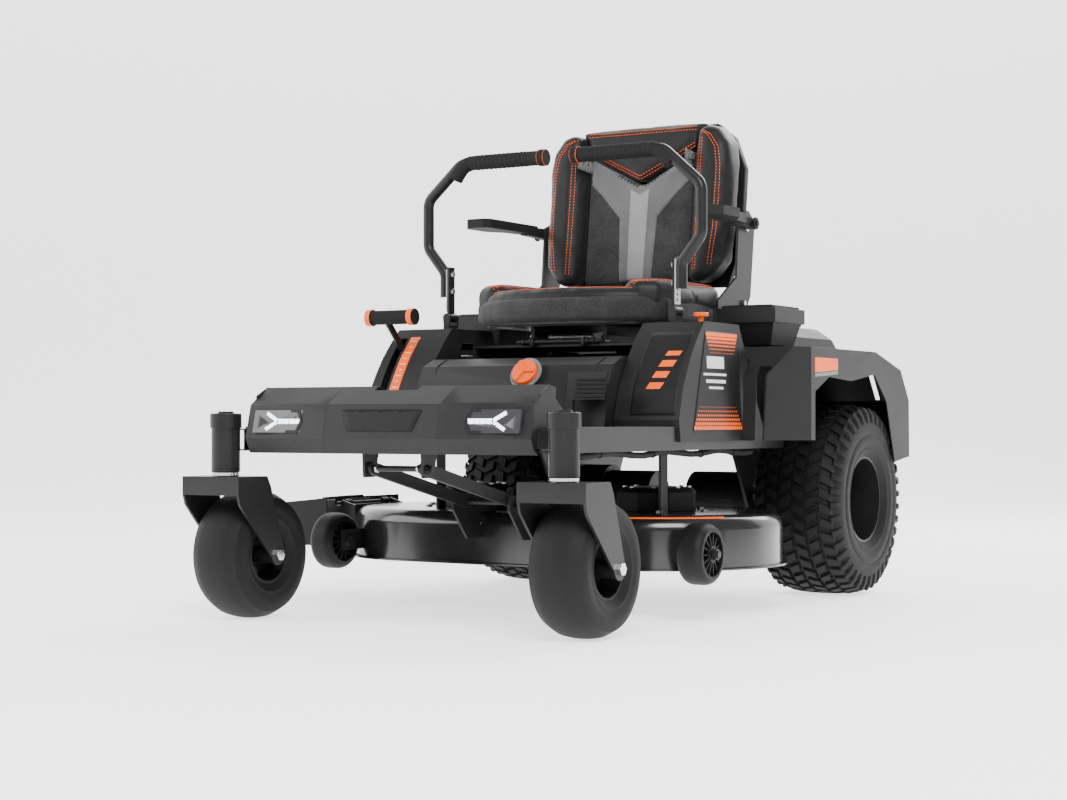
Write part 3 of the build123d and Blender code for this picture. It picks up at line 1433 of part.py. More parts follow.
with BuildPart() as bin_lid:
    with BuildSketch(Plane.XY.offset(bin_top + gap - 12)):
        with Locations(bin_mid):
            Rectangle(bin_outer_x - bin_inner_x, bin_back_y - bin_front_y)
    extrude(amount=lid_top - bin_top - gap + 12 - 6)
    with BuildSketch(Plane.XY.offset(lid_top - 6)):
        with Locations(bin_mid):
            Rectangle(bin_outer_x - bin_inner_x - 20, bin_back_y - bin_front_y - 20)
    extrude(amount=6)
    with BuildSketch(Plane.XY.offset(bin_top + gap - 12)):
        with Locations(bin_mid):
            Rectangle(bin_outer_x - bin_inner_x - 7, bin_back_y - bin_front_y - 7)
    extrude(amount=12, mode=Mode.SUBTRACT)
    with BuildSketch(Plane.XY.offset(bin_top + gap)):
        with Locations(bin_mid):
            Rectangle(bin_outer_x - bin_inner_x - 30, bin_back_y - bin_front_y - 30)
    extrude(amount=lid_top - bin_top - 8, mode=Mode.SUBTRACT)
    for x in (bin_mid[0] - lid_ear_x, bin_mid[0] + lid_ear_x):
        for ear_x in (x - 17, x + 7):
            with BuildSketch(across(ear_x)):
                Polygon((bin_back_y - 2, lid_hinge_z + 14), (bin_back_y - 2, lid_hinge_z + 2),
                        (lid_hinge_y, lid_hinge_z - 4), (lid_hinge_y, lid_hinge_z + 5), align=None)
                with Locations((lid_hinge_y, lid_hinge_z)):
                    Circle(lid_pin_r + 2)
                    Circle(lid_pin_r + running_clear, mode=Mode.SUBTRACT)
            extrude(amount=10)
keep_pair("bin_lid", bin_lid.part)

# ---- seat support, battery packs, controller ----------------------------------------
with BuildPart() as seat_platform:
    with BuildSketch(Plane.XY.offset(platform_z)):
        with Locations((0, (platform_front_y + platform_back_y) / 2)):
            Rectangle(2 * platform_half_w, platform_back_y - platform_front_y)
    extrude(amount=platform_t)
    for x in (-platform_half_w, platform_half_w - platform_t):
        with BuildSketch(across(x)):
            Polygon((floor_back_y + side_gap, rail_top), (floor_back_y + side_gap, leg_top_z),
                    (platform_front_y, leg_top_z), (platform_front_y, platform_z), (platform_back_y, platform_z),
                    (platform_back_y, rail_top), (cross_rear_y - cross_w / 2, rail_top),
                    (cross_rear_y - cross_w / 2, leg_bottom_z), (cross_mid_y + cross_w / 2, leg_bottom_z),
                    (cross_mid_y + cross_w / 2, rail_top), align=None)
        extrude(amount=platform_t)
    for x in (-70, 70 - plate):
        with BuildSketch(across(x)):
            Polygon((platform_front_y, platform_z), (platform_front_y, platform_z + platform_t),
                    (seat_hinge_y - 9, seat_hinge_z + 8), (seat_hinge_y - 9, seat_hinge_z - 8),
                    (seat_hinge_y, platform_z), align=None)
            with Locations((seat_hinge_y, seat_hinge_z)):
                Circle(9)
        extrude(amount=plate)
    with BuildSketch(across(-110)):
        with Locations((seat_hinge_y, seat_hinge_z)):
            Circle(hinge_pin_r)
    extrude(amount=220)

tray_front_y = floor_back_y + side_gap
tray_back_y = cross_rear_y + cross_w / 2
pack_x = (platform_half_w - platform_t) / 2
pack_top = rail_top + floor_t + battery_h
with BuildPart() as battery_tray:
    with BuildSketch(Plane.XY.offset(rail_top)):
        with Locations((0, (tray_front_y + tray_back_y) / 2)):
            Rectangle(2 * (platform_half_w - platform_t - side_gap), tray_back_y - tray_front_y)
    extrude(amount=floor_t)
with BuildPart() as battery_pack:
    with BuildSketch(Plane.XY.offset(rail_top + floor_t)):
        with Locations((pack_x, battery_mid_y)):
            RectangleRounded(platform_half_w - platform_t - 16, battery_len, 12)
    extrude(amount=battery_h)
    with BuildSketch(across(pack_x - 40)):
        Polygon((battery_mid_y - 55, pack_top), (battery_mid_y - 45, pack_top + 26),
                (battery_mid_y + 45, pack_top + 26), (battery_mid_y + 55, pack_top), (battery_mid_y + 41, pack_top),
                (battery_mid_y + 37, pack_top + 16), (battery_mid_y - 37, pack_top + 16),
                (battery_mid_y - 41, pack_top), align=None)
    extrude(amount=24)
keep("battery_packs", group(battery_tray.part, *both(battery_pack.part)))

with BuildPart() as controller:
    with BuildSketch(Plane.XY.offset(rail_top + floor_t)):
        with Locations((controller_x, controller_y)):
            RectangleRounded(200, controller_len, 8)
    extrude(amount=60)
    with BuildSketch(Plane.XY.offset(rail_top + floor_t + 60)):
        with Locations((controller_x, controller_y)):
            with GridLocations(16, 0, 11, 1):
                Rectangle(5, controller_len - 10)
    extrude(amount=16)
keep("controller", controller.part)

# ---- seat ---------------------------------------------------------------------------
rail_low = platform_z + platform_t + gap
hinge_plate_t = 4.0
with BuildPart() as hinge_plate:
    with BuildSketch(Plane.XY.offset(rail_low)):
        with Locations((0, (seat_hinge_y + 20 + platform_back_y - 40) / 2)):
            Rectangle(250, platform_back_y - 40 - seat_hinge_y - 20)
        with Locations((0, 860)):
            Rectangle(120, 200, mode=Mode.SUBTRACT)
    extrude(amount=hinge_plate_t)
    for x in (-95, 78 - plate, 95 - plate, -78):
        with BuildSketch(across(x)):
            Polygon((seat_hinge_y + 2, seat_hinge_z - 4), (seat_hinge_y + 12, rail_low), (seat_hinge_y + 40, rail_low),
                    (seat_hinge_y + 40, rail_low + hinge_plate_t), (seat_hinge_y, seat_hinge_z + 8), align=None)
            with Locations((seat_hinge_y, seat_hinge_z)):
                Circle(8)
                Circle(hinge_pin_r + running_clear, mode=Mode.SUBTRACT)
        extrude(amount=plate)

with BuildPart() as slide_low:
    slide_z = rail_low + hinge_plate_t
    slide_len = 300
    with BuildSketch(facing(seat_hinge_y + 45)):
        with Locations((slide_x, slide_z + slide_h / 2)):
            Rectangle(slide_w, slide_h)
            Rectangle(slide_w - 6, slide_h - 6, mode=Mode.SUBTRACT)
        with Locations((slide_x, slide_z + slide_h)):
            Rectangle(slide_w / 2, 8, mode=Mode.SUBTRACT)
    extrude(amount=-slide_len)
keep("seat_hinge_plate", group(hinge_plate.part, *both(slide_low.part)))

with BuildPart() as slide_high:
    with BuildSketch(facing(seat_hinge_y + 45)):
        with Locations((slide_x, slide_z + slide_h / 2)):
            Rectangle(slide_w - 6 - 2 * gap, slide_h - 6 - 2 * gap)
        with Locations((slide_x, (slide_z + slide_h / 2 + pan_z) / 2)):
            Rectangle(slide_w / 2 - 2 * gap, pan_z - slide_z - slide_h / 2)
    extrude(amount=-slide_len)
with BuildPart() as seat_pan:
    with BuildSketch(Plane.XY.offset(pan_z)):
        with Locations((0, (seat_hinge_y + 1030) / 2)):
            RectangleRounded(400, 1030 - seat_hinge_y, 20)
    extrude(amount=pan_t)

with BuildPart() as seat_cushion:
    with BuildSketch(Plane.XY.offset(cushion_bottom)):
        with BuildLine():
            Polyline((-seat_half_w + 22, seat_back_y), (-seat_half_w, seat_back_y - 60), (-seat_half_w, 740),
                     (-seat_half_w + 16, 690))
            Spline((-seat_half_w + 16, 690), (-170, 630), (0, seat_front_y), (170, 630), (seat_half_w - 16, 690))
            Polyline((seat_half_w - 16, 690), (seat_half_w, 740), (seat_half_w, seat_back_y - 60),
                     (seat_half_w - 22, seat_back_y))
            Line((seat_half_w - 22, seat_back_y), (-seat_half_w + 22, seat_back_y))
        make_face()
    extrude(amount=seat_top_z - cushion_bottom)
    for x in (-seat_half_w + 46, seat_half_w - 46):
        with BuildSketch(facing(720)):
            with Locations((x, seat_top_z - 14)):
                Ellipse(44, 36)
        extrude(amount=-(seat_back_y - 10 - 720))
    with BuildSketch(Plane.XY.offset(cushion_bottom - 50)):
        Rectangle(3000, 3000)
    extrude(amount=50, mode=Mode.SUBTRACT)
keep("seat_cushion", seat_cushion.part)


def back_y(z, depth):
    """Y of the backrest at height z, depth behind its front face."""
    return back_front_y + depth + back_lean * (z - back_bottom_z) / (back_top_z - back_bottom_z)


back_profile = (
    (-back_half_w + 30, back_bottom_z),
    (-back_half_w, back_bottom_z + 110),
    (-back_half_w, 1030),
    (-back_half_w + 32, back_top_z - 40),
    (-back_half_w + 80, back_top_z),
    (back_half_w - 80, back_top_z),
    (back_half_w - 32, back_top_z - 40),
    (back_half_w, 1030),
    (back_half_w, back_bottom_z + 110),
    (back_half_w - 30, back_bottom_z),
)
for name, near, far in (
    ("back_cushion", 0, back_thick),
    ("back_shell", back_thick, back_thick + back_shell_t),
):
    with BuildPart() as back_piece:
        with BuildSketch(across(-back_half_w)):
            Polygon((back_y(back_bottom_z, near), back_bottom_z), (back_y(back_top_z, near), back_top_z),
                    (back_y(back_top_z, far), back_top_z), (back_y(back_bottom_z, far), back_bottom_z), align=None)
        extrude(amount=2 * back_half_w)
        with BuildSketch(facing(900)):
            Polygon(*back_profile, align=None)
        extrude(amount=-500, mode=Mode.INTERSECT)
        if near == 0:
            for x in (-back_half_w + 34, back_half_w - 34):
                with BuildSketch(Plane(origin=(x, back_y(back_bottom_z + 50, 8), back_bottom_z + 50), x_dir=(1, 0, 0),
                                       z_dir=(0, back_lean, back_top_z - back_bottom_z))):
                    Ellipse(33, 50)
                extrude(amount=290)
            with BuildSketch(facing(900)):
                Polygon(*back_profile, align=None)
            extrude(amount=-500, mode=Mode.INTERSECT)
            with BuildSketch(across(-back_half_w - 10)):
                Polygon((back_y(600, back_thick), 600), (back_y(1300, back_thick), 1300), (1500, 1300), (1500, 600),
                        align=None)
            extrude(amount=2 * back_half_w + 20, mode=Mode.SUBTRACT)
    keep(name, back_piece.part)

# side brackets join the back shell to the pan and carry the armrests
bracket_inner = seat_half_w + gap
with BuildPart() as side_bracket:
    with BuildSketch(across(bracket_inner + 2)):
        Polygon((1030, cushion_bottom + 6), (1085, cushion_bottom), (1140, 720), (1165, 900), (1130, 925),
                (1075, 905), (1062, 760), (960, 700), (960, 670), align=None)
        with Locations((arm_pivot_y, arm_pivot_z)):
            Circle(6, mode=Mode.SUBTRACT)
    extrude(amount=plate)
with BuildPart() as cross_strut:
    with BuildSketch(across(-bracket_inner - 2)):
        with Locations((1060, 668)):
            Circle(10)
    extrude(amount=2 * bracket_inner + 4)
    with BuildSketch(across(-bracket_inner - 2)):
        with Locations((back_y(860, back_thick + back_shell_t) + 8, 860)):
            Circle(6)
    extrude(amount=2 * bracket_inner + 4)
    for x in (-150, 150 - plate):
        with BuildSketch(across(x)):
            Polygon((1030, pan_z), (1052, pan_z), (1072, 660), (1064, 676), (1050, 672), (1049.5, cushion_bottom),
                    (1030, cushion_bottom), align=None)
        extrude(amount=plate)
with BuildPart() as arm_pin:
    with BuildSketch(across(bracket_inner + 2)):
        with Locations((arm_pivot_y, arm_pivot_z)):
            Circle(6)
    extrude(amount=plate + 28)
keep("seat_pan", group(
    seat_pan.part,
    *both(slide_high.part),
    *both(side_bracket.part),
    cross_strut.part,
    *both(arm_pin.part),
))

with BuildPart() as armrest:
    arm_x = bracket_inner + 2 + plate + side_gap
    with BuildSketch(across(arm_x)):
        Polygon((arm_pivot_y + 18, arm_pivot_z - 12), (arm_pivot_y + 18, arm_pivot_z + 14),
                (1040, arm_pivot_z + 14), (1000, arm_pivot_z + 6), (1000, arm_pivot_z - 8), align=None)
        with Locations((arm_pivot_y, arm_pivot_z)):
            Circle(6 + running_clear, mode=Mode.SUBTRACT)
    extrude(amount=22)
    with BuildSketch(Plane.XY.offset(arm_pivot_z - 4)):
        Polygon((arm_x, 1050), (arm_x, arm_front_y + 14), (arm_x + 14, arm_front_y), (arm_outer_x - 16, arm_front_y),
                (arm_outer_x, arm_front_y + 20), (arm_outer_x, 920), (arm_x + 46, 960), (arm_x + 30, 1050), align=None)
    extrude(amount=arm_pad_h)

keep_pair("armrest", armrest.part)

# ---- steering levers ----------------------------------------------------------------
with BuildPart() as lever_mount:
    mount_low_z = mount_bar_top - mount_bar_t
    for x in (lever_x - mount_half - plate, lever_x + mount_half):
        with BuildSketch(across(x)):
            Polygon((lever_y - mount_reach, mount_low_z), (lever_y + mount_reach, mount_low_z),
                    (lever_y + 14, lever_pivot_z + 14), (lever_y - 14, lever_pivot_z + 14), align=None)
        extrude(amount=plate)
    with BuildSketch(across(lever_x - mount_half - plate)):
        with Locations((lever_y, lever_pivot_z)):
            Circle(lever_shaft_r)
    extrude(amount=2 * mount_half + 2 * plate)
    with BuildSketch(across(platform_half_w)):
        with Locations((lever_y, mount_bar_top - mount_bar_t / 2)):
            Rectangle(2 * mount_reach, mount_bar_t)
    extrude(amount=lever_x + mount_half + plate - platform_half_w)
keep("seat_support", group(seat_platform.part, *both(lever_mount.part)))
keep("frame", group(
    front_beam.part,
    *both(side_rail.part),
    *both(lift_bush.part),
    *cross_tubes,
    rear_bar.part,
    *both(motor_plate.part),
    hitch_plate.part,
    *both(hanger.part),
    hanger_pin.part,
))

with BuildPart() as lever_base:
    with BuildSketch(across(lever_x - mount_half + side_gap)):
        with Locations((lever_y, lever_pivot_z)):
            Circle(lever_shaft_r + plate)
            Circle(lever_shaft_r + running_clear, mode=Mode.SUBTRACT)
    extrude(amount=2 * mount_half - 2 * side_gap)
    with BuildSketch(Plane.XY.offset(lever_pivot_z + lever_shaft_r + 2)):
        with Locations((lever_x, lever_y)):
            Rectangle(16, 2 * neck_half)
    extrude(amount=swing_pivot_z - 18 - lever_pivot_z - lever_shaft_r - 2)
    for y in (lever_y - neck_half, lever_y + neck_half - plate):
        with BuildSketch(facing(y)):
            Polygon((lever_x - 8, swing_pivot_z - 18), (lever_x + 8, swing_pivot_z - 18), (lever_x + 10, swing_pivot_z),
                    (lever_x - 10, swing_pivot_z), align=None)
            with Locations((lever_x, swing_pivot_z)):
                Circle(10)
        extrude(amount=-plate)
    with BuildSketch(facing(lever_y - neck_half)):
        with Locations((lever_x, swing_pivot_z)):
            Circle(swing_pin_r)
    extrude(amount=-2 * neck_half)
keep_pair("lever_base", lever_base.part)

bar_top_z = 781.0
with BuildPart() as lever_bar:
    barrel_half = neck_half - plate - side_gap
    with BuildSketch(facing(lever_y - barrel_half)):
        with Locations((lever_x, swing_pivot_z)):
            Circle(swing_pin_r + 5)
        Polygon((lever_x - 3, swing_pivot_z + 6), (lever_x + 3, swing_pivot_z + 6), (lever_x + 3, bar_top_z),
                (lever_x - 3, bar_top_z), align=None)
        with Locations((lever_x, swing_pivot_z)):
            Circle(swing_pin_r + running_clear, mode=Mode.SUBTRACT)
    extrude(amount=-2 * barrel_half)

with BuildPart() as lever_tube:
    with BuildLine():
        FilletPolyline(
            (lever_x + 3 + lever_tube_r * 0.9, lever_y, bar_top_z - 70),
            (lever_x + 3 + lever_tube_r * 0.9, lever_y, bar_top_z - 14),
            (lever_out_x, lever_y, lever_bend_low_z),
            (lever_out_x, lever_y, lever_bend_high_z),
            (lever_bend_top_x, lever_y, lever_top_z),
            (lever_tip_x, lever_y, lever_top_z),
            radius=34,
        )
    with BuildSketch(Plane.XY.offset(bar_top_z - 70)):
        with Locations((lever_x + 3 + lever_tube_r * 0.9, lever_y)):
            Circle(lever_tube_r)
    sweep()
with BuildPart() as lever_arm:
    add(lever_bar.part)
    add(lever_tube.part)
with BuildPart() as lever_grip:
    with BuildSketch(across(lever_bend_top_x - 22)):
        with Locations((lever_y, lever_top_z)):
            Circle(lever_grip_r)
            Circle(lever_tube_r, mode=Mode.SUBTRACT)
    extrude(amount=-(lever_bend_top_x - 22 - lever_tip_x))
    with BuildSketch(across(lever_tip_x)):
        with Locations((lever_y, lever_top_z)):
            Circle(lever_grip_r + 2.5)
    extrude(amount=-3)
    with BuildSketch(across(lever_tip_x)):
        with Locations((lever_y, lever_top_z)):
            Circle(lever_grip_r + 2.5)
            Circle(lever_grip_r - 1, mode=Mode.SUBTRACT)
    extrude(amount=14)
keep_pair("lever_tube", lever_arm.part)
keep_pair("lever_grip", group(lever_grip.part))

# ---- bring the origin under the middle of the whole object and write the pieces -------
box = Compound(list(pieces.values())).bounding_box()
to_row_frame = Location((-(box.min.X + box.max.X) / 2, -(box.min.Y + box.max.Y) / 2, -box.min.Z))
print("origin moved by", tuple(round(v, 4) for v in to_row_frame.position))
print("size", [round(v, 1) for v in box.size])

os.makedirs("parts", exist_ok=True)
for name, shape in pieces.items():
    piece = shape.moved(to_row_frame)
    piece.label = name
    export_step(piece, f"parts/{name}.step")
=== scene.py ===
import json
import logging
from dataclasses import dataclass, field
from enum import Enum
from math import cos, radians, sin, tau
from typing import Callable, Iterable, Sequence

import bmesh
import bpy
from mathutils import Matrix, Vector
from mathutils.bvhtree import BVHTree


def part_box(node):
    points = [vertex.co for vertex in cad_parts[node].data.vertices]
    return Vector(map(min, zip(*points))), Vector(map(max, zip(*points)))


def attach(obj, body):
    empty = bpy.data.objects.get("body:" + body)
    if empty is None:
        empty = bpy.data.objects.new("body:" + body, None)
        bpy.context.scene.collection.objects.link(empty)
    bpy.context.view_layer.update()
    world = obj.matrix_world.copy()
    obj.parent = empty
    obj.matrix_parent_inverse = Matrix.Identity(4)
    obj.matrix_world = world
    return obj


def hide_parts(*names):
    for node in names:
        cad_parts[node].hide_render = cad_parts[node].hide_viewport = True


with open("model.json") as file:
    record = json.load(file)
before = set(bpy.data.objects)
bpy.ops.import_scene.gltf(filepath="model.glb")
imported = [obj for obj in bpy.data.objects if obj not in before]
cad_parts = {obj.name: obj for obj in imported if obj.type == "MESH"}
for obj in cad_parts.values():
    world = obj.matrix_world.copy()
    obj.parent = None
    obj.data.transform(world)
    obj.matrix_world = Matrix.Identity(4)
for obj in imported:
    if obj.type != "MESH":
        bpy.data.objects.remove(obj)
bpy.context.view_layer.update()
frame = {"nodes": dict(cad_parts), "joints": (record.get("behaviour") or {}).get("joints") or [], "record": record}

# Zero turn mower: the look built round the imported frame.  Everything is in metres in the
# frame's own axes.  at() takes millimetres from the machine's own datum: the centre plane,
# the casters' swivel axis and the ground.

LOG = logging.getLogger("mower")
MM = 0.001
STITCH_PITCH = 0.0075
SIDES = (("left", 1), ("right", -1))
Colour = tuple[float, float, float]
Point2 = tuple[float, float]
Placing = Callable[[float, float, float], Vector]

NODE_BODY: dict[str, str] = {
    node: body for body, nodes in frame["record"]["behaviour"]["bodies"].items() for node in nodes
}
JOINTS: dict[str, dict] = {joint["name"]: joint for joint in frame["joints"]}
DATUM = (Vector(JOINTS["caster_swivel_left"]["pos_m"]) + Vector(JOINTS["caster_swivel_right"]["pos_m"])) / 2
DATUM.z = 0.0
UP = Vector((0, 0, 1))
DOWN = Vector((0, 0, -1))
REARWARD = Vector((0, 1, 0))
BOX_FACES = ((0, 1, 2, 3), (4, 5, 6, 7), (0, 1, 5, 4), (1, 2, 6, 5), (2, 3, 7, 6), (3, 0, 4, 7))


def at(x: float, y: float, z: float) -> Vector:
    """A point in the frame's metres from millimetres off the machine's datum."""
    return DATUM + Vector((x, y, z)) * MM


class Grain(Enum):
    """What a finish's fine surface relief looks like."""

    MOULDED = "moulded"
    PAINT = "paint"
    RUBBER = "rubber"
    LEATHER = "leather"
    WEAVE = "weave"
    BRUSHED = "brushed"
    CAST = "cast"


@dataclass(frozen=True)
class Finish:
    """One procedural material: two colours mottled together over a fine relief."""

    name: str
    low: Colour
    high: Colour
    rough: tuple[float, float] = (0.4, 0.6)
    grain: Grain = Grain.MOULDED
    grain_per_m: float = 900.0
    relief: float = 0.12
    metallic: float = 0.0
    coat: float = 0.0
    sheen: float = 0.0
    # glow: emission from the finish's own colour. On the LEDs it is a lamp and on the floor an even brightness; on
    # the orange plastic and the orange thread it is painted light.
    glow: float = 0.0
    specular: float = 0.2

    def material(self) -> bpy.types.Material:
        """The material, made the first time it is asked for.

        Returns:
            The Blender material with this finish's node tree.
        """
        label = "finish_" + self.name
        known = bpy.data.materials.get(label)
        if known is not None:
            return known
        made = bpy.data.materials.new(label)
        made.use_nodes = True
        tree = made.node_tree
        shader = tree.nodes["Principled BSDF"]
        shader.inputs["Metallic"].default_value = self.metallic
        shader.inputs["Specular IOR Level"].default_value = self.specular
        shader.inputs["Coat Weight"].default_value = self.coat
        shader.inputs["Coat Roughness"].default_value = 0.12
        shader.inputs["Sheen Weight"].default_value = self.sheen
        where = tree.nodes.new("ShaderNodeTexCoord")
        mottle = self._noise(tree, where, 14.0, 4.0)
        colour = tree.nodes.new("ShaderNodeValToRGB")
        colour.color_ramp.elements[0].position = 0.3
        colour.color_ramp.elements[1].position = 0.72
        colour.color_ramp.elements[0].color = (*self.low, 1)
        colour.color_ramp.elements[1].color = (*self.high, 1)
        fine = self._pattern(tree, where)
        both = tree.nodes.new("ShaderNodeMix")
        both.data_type = "FLOAT"
        both.inputs[0].default_value = 0.55
        tree.links.new(mottle.outputs["Fac"], both.inputs[2])
        tree.links.new(fine, both.inputs[3])
        tree.links.new(both.outputs[0], colour.inputs["Fac"])
        tree.links.new(colour.outputs["Color"], shader.inputs["Base Color"])
        # Emission from the base colour: a lamp on the LEDs, an even brightness on the floor, and painted light on
        # the orange plastic and thread.
        if self.glow:
            tree.links.new(colour.outputs["Color"], shader.inputs["Emission Color"])
            shader.inputs["Emission Strength"].default_value = self.glow
        rough = tree.nodes.new("ShaderNodeMapRange")
        rough.inputs["To Min"].default_value = self.rough[0]
        rough.inputs["To Max"].default_value = self.rough[1]
        tree.links.new(mottle.outputs["Fac"], rough.inputs["Value"])
        tree.links.new(rough.outputs["Result"], shader.inputs["Roughness"])
        bump = tree.nodes.new("ShaderNodeBump")
        bump.inputs["Strength"].default_value = self.relief
        bump.inputs["Distance"].default_value = 0.0008
        tree.links.new(fine, bump.inputs["Height"])
        tree.links.new(bump.outputs["Normal"], shader.inputs["Normal"])
        return made

    @staticmethod
    def _noise(tree: bpy.types.NodeTree, where: bpy.types.Node, scale: float,
               detail: float) -> bpy.types.Node:
        """A noise node in the piece's own coordinates."""
        noise = tree.nodes.new("ShaderNodeTexNoise")
        noise.inputs["Scale"].default_value = scale
        noise.inputs["Detail"].default_value = detail
        tree.links.new(where.outputs["Object"], noise.inputs["Vector"])
        return noise

    def _pattern(self, tree: bpy.types.NodeTree, where: bpy.types.Node) -> bpy.types.NodeSocket:
        """The socket that carries this grain's height.

        Args:
            tree: The material's nodes.
            where: The texture coordinate node.

        Returns:
            An output socket from 0 to 1.
        """
        if self.grain is Grain.LEATHER:
            cells = tree.nodes.new("ShaderNodeTexVoronoi")
            cells.feature = "DISTANCE_TO_EDGE"
            cells.inputs["Scale"].default_value = self.grain_per_m
            tree.links.new(where.outputs["Object"], cells.inputs["Vector"])
            return cells.outputs["Distance"]
        if self.grain is Grain.WEAVE:
            threads = []
            for direction in ("X", "Z"):
                wave = tree.nodes.new("ShaderNodeTexWave")
                wave.bands_direction = direction
                wave.inputs["Scale"].default_value = self.grain_per_m
                wave.inputs["Distortion"].default_value = 0.4
                tree.links.new(where.outputs["Object"], wave.inputs["Vector"])
                threads.append(wave)
            crossed = tree.nodes.new("ShaderNodeMath")
            crossed.operation = "MULTIPLY"
            tree.links.new(threads[0].outputs["Fac"], crossed.inputs[0])
            tree.links.new(threads[1].outputs["Fac"], crossed.inputs[1])
            return crossed.outputs[0]
        if self.grain is Grain.BRUSHED:
            along = tree.nodes.new("ShaderNodeMapping")
            along.inputs["Scale"].default_value = (1.0, 0.04, 1.0)
            tree.links.new(where.outputs["Object"], along.inputs["Vector"])
            lines = tree.nodes.new("ShaderNodeTexNoise")
            lines.inputs["Scale"].default_value = self.grain_per_m
            tree.links.new(along.outputs["Vector"], lines.inputs["Vector"])
            return lines.outputs["Fac"]
        detail = 6.0 if self.grain is Grain.CAST else 3.0
        return self._noise(tree, where, self.grain_per_m, detail).outputs["Fac"]


CHARCOAL = Finish("charcoal_plastic", (0.011, 0.011, 0.0117), (0.019, 0.019, 0.02), (0.4, 0.55), relief=0.2)
BLACK_PLASTIC = Finish("black_plastic", (0.005, 0.005, 0.0054), (0.009, 0.009, 0.0095), (0.45, 0.6),
                       relief=0.2)
FRAME_PAINT = Finish("frame_paint", (0.009, 0.009, 0.0095), (0.015, 0.015, 0.016), (0.3, 0.42), Grain.PAINT,
                     700.0, 0.06, coat=0.05)
BRACKET_PAINT = Finish("bracket_paint", (0.012, 0.012, 0.0125), (0.02, 0.02, 0.021), (0.34, 0.46),
                       Grain.PAINT, 700.0, 0.06, coat=0.04)
DECK_PAINT = Finish("deck_paint", (0.008, 0.008, 0.0085), (0.013, 0.013, 0.0138), (0.16, 0.24), Grain.PAINT,
                    520.0, 0.04, coat=0.3, specular=0.5)
TYRE = Finish("tyre_rubber", (0.005, 0.005, 0.005), (0.01, 0.01, 0.0098), (0.55, 0.72), Grain.RUBBER,
              520.0, 0.3)
RUBBER = Finish("grip_rubber", (0.009, 0.009, 0.009), (0.018, 0.018, 0.018), (0.6, 0.78), Grain.RUBBER, 900.0,
                0.3)
FOAM = Finish("foam_grip", (0.007, 0.007, 0.007), (0.013, 0.013, 0.013), (0.72, 0.88), Grain.CAST, 1500.0,
              0.5)
LEATHER = Finish("black_vinyl", (0.008, 0.008, 0.0085), (0.014, 0.014, 0.0148), (0.36, 0.5), Grain.LEATHER,
                 620.0, 0.35, sheen=0.08)
GREY_FABRIC = Finish("speckled_fabric", (0.006, 0.006, 0.0065), (0.05, 0.05, 0.053), (0.78, 0.92), Grain.CAST,
                     360.0, 0.5, sheen=0.15)
LIGHT_FABRIC = Finish("light_fabric", (0.2, 0.2, 0.205), (0.4, 0.4, 0.41), (0.7, 0.85), Grain.WEAVE, 240.0,
                      0.5)
MESH_FABRIC = Finish("mesh_fabric", (0.07, 0.07, 0.073), (0.3, 0.3, 0.31), (0.75, 0.9), Grain.WEAVE, 190.0,
                     0.9, sheen=0.3)
# Orange plastic with a small emission on top of its colour: painted light, a glow the part has under no lamp.
ORANGE_PAINTED_GLOW = Finish("orange_plastic", (0.9, 0.105, 0.004), (0.98, 0.14, 0.008), (0.34, 0.46), relief=0.08,
                glow=0.12)
# Orange stitch thread with a small emission on top of its colour: painted light, a glow the thread has under no
# lamp.
THREAD_PAINTED_GLOW = Finish("orange_thread_painted_glow", (0.85, 0.1, 0.006), (0.95, 0.15, 0.012), (0.6, 0.75), Grain.WEAVE, 900.0,
                0.4, glow=0.1)
STEEL = Finish("zinc_steel", (0.4, 0.4, 0.42), (0.6, 0.6, 0.62), (0.26, 0.4), Grain.BRUSHED, 420.0, 0.1, 1.0)
CHROME = Finish("chrome", (0.6, 0.6, 0.62), (0.74, 0.74, 0.76), (0.08, 0.16), Grain.BRUSHED, 300.0, 0.03, 1.0)
CASTING = Finish("cast_black", (0.006, 0.006, 0.0065), (0.013, 0.013, 0.014), (0.4, 0.55), Grain.CAST, 320.0,
                 0.35, metallic=0.3)
SILVER_PLATE = Finish("light_plate", (0.34, 0.34, 0.35), (0.5, 0.5, 0.51), (0.34, 0.46), Grain.PAINT, 500.0,
                      0.06, 0.4)
WHITE_MARK = Finish("white_mark", (0.6, 0.6, 0.6), (0.74, 0.74, 0.74), (0.42, 0.52), relief=0.05)
GREY_MARK = Finish("grey_mark", (0.16, 0.16, 0.165), (0.21, 0.21, 0.215), (0.4, 0.5), relief=0.05)
# Near-black finish for the printed console panels and the lamp surrounds, and also painted shade: the bin lid
# notches and the lever's holes are dark patches standing in for shade in a recess.
DARK_MARK_AND_SHADE = Finish("dark_mark_and_shade", (0.007, 0.007, 0.008), (0.011, 0.011, 0.012), (0.42, 0.52), relief=0.03)
LED = Finish("led_white", (0.82, 0.9, 1.0), (0.95, 0.98, 1.0), (0.15, 0.25), relief=0.02, glow=2.4)
LENS = Finish("lamp_lens", (0.02, 0.02, 0.022), (0.05, 0.05, 0.055), (0.06, 0.14), relief=0.02, coat=0.8)
FLOOR = Finish("studio_floor", (0.9, 0.9, 0.9), (0.93, 0.93, 0.93), (0.6, 0.7), relief=0.0, glow=1.6)


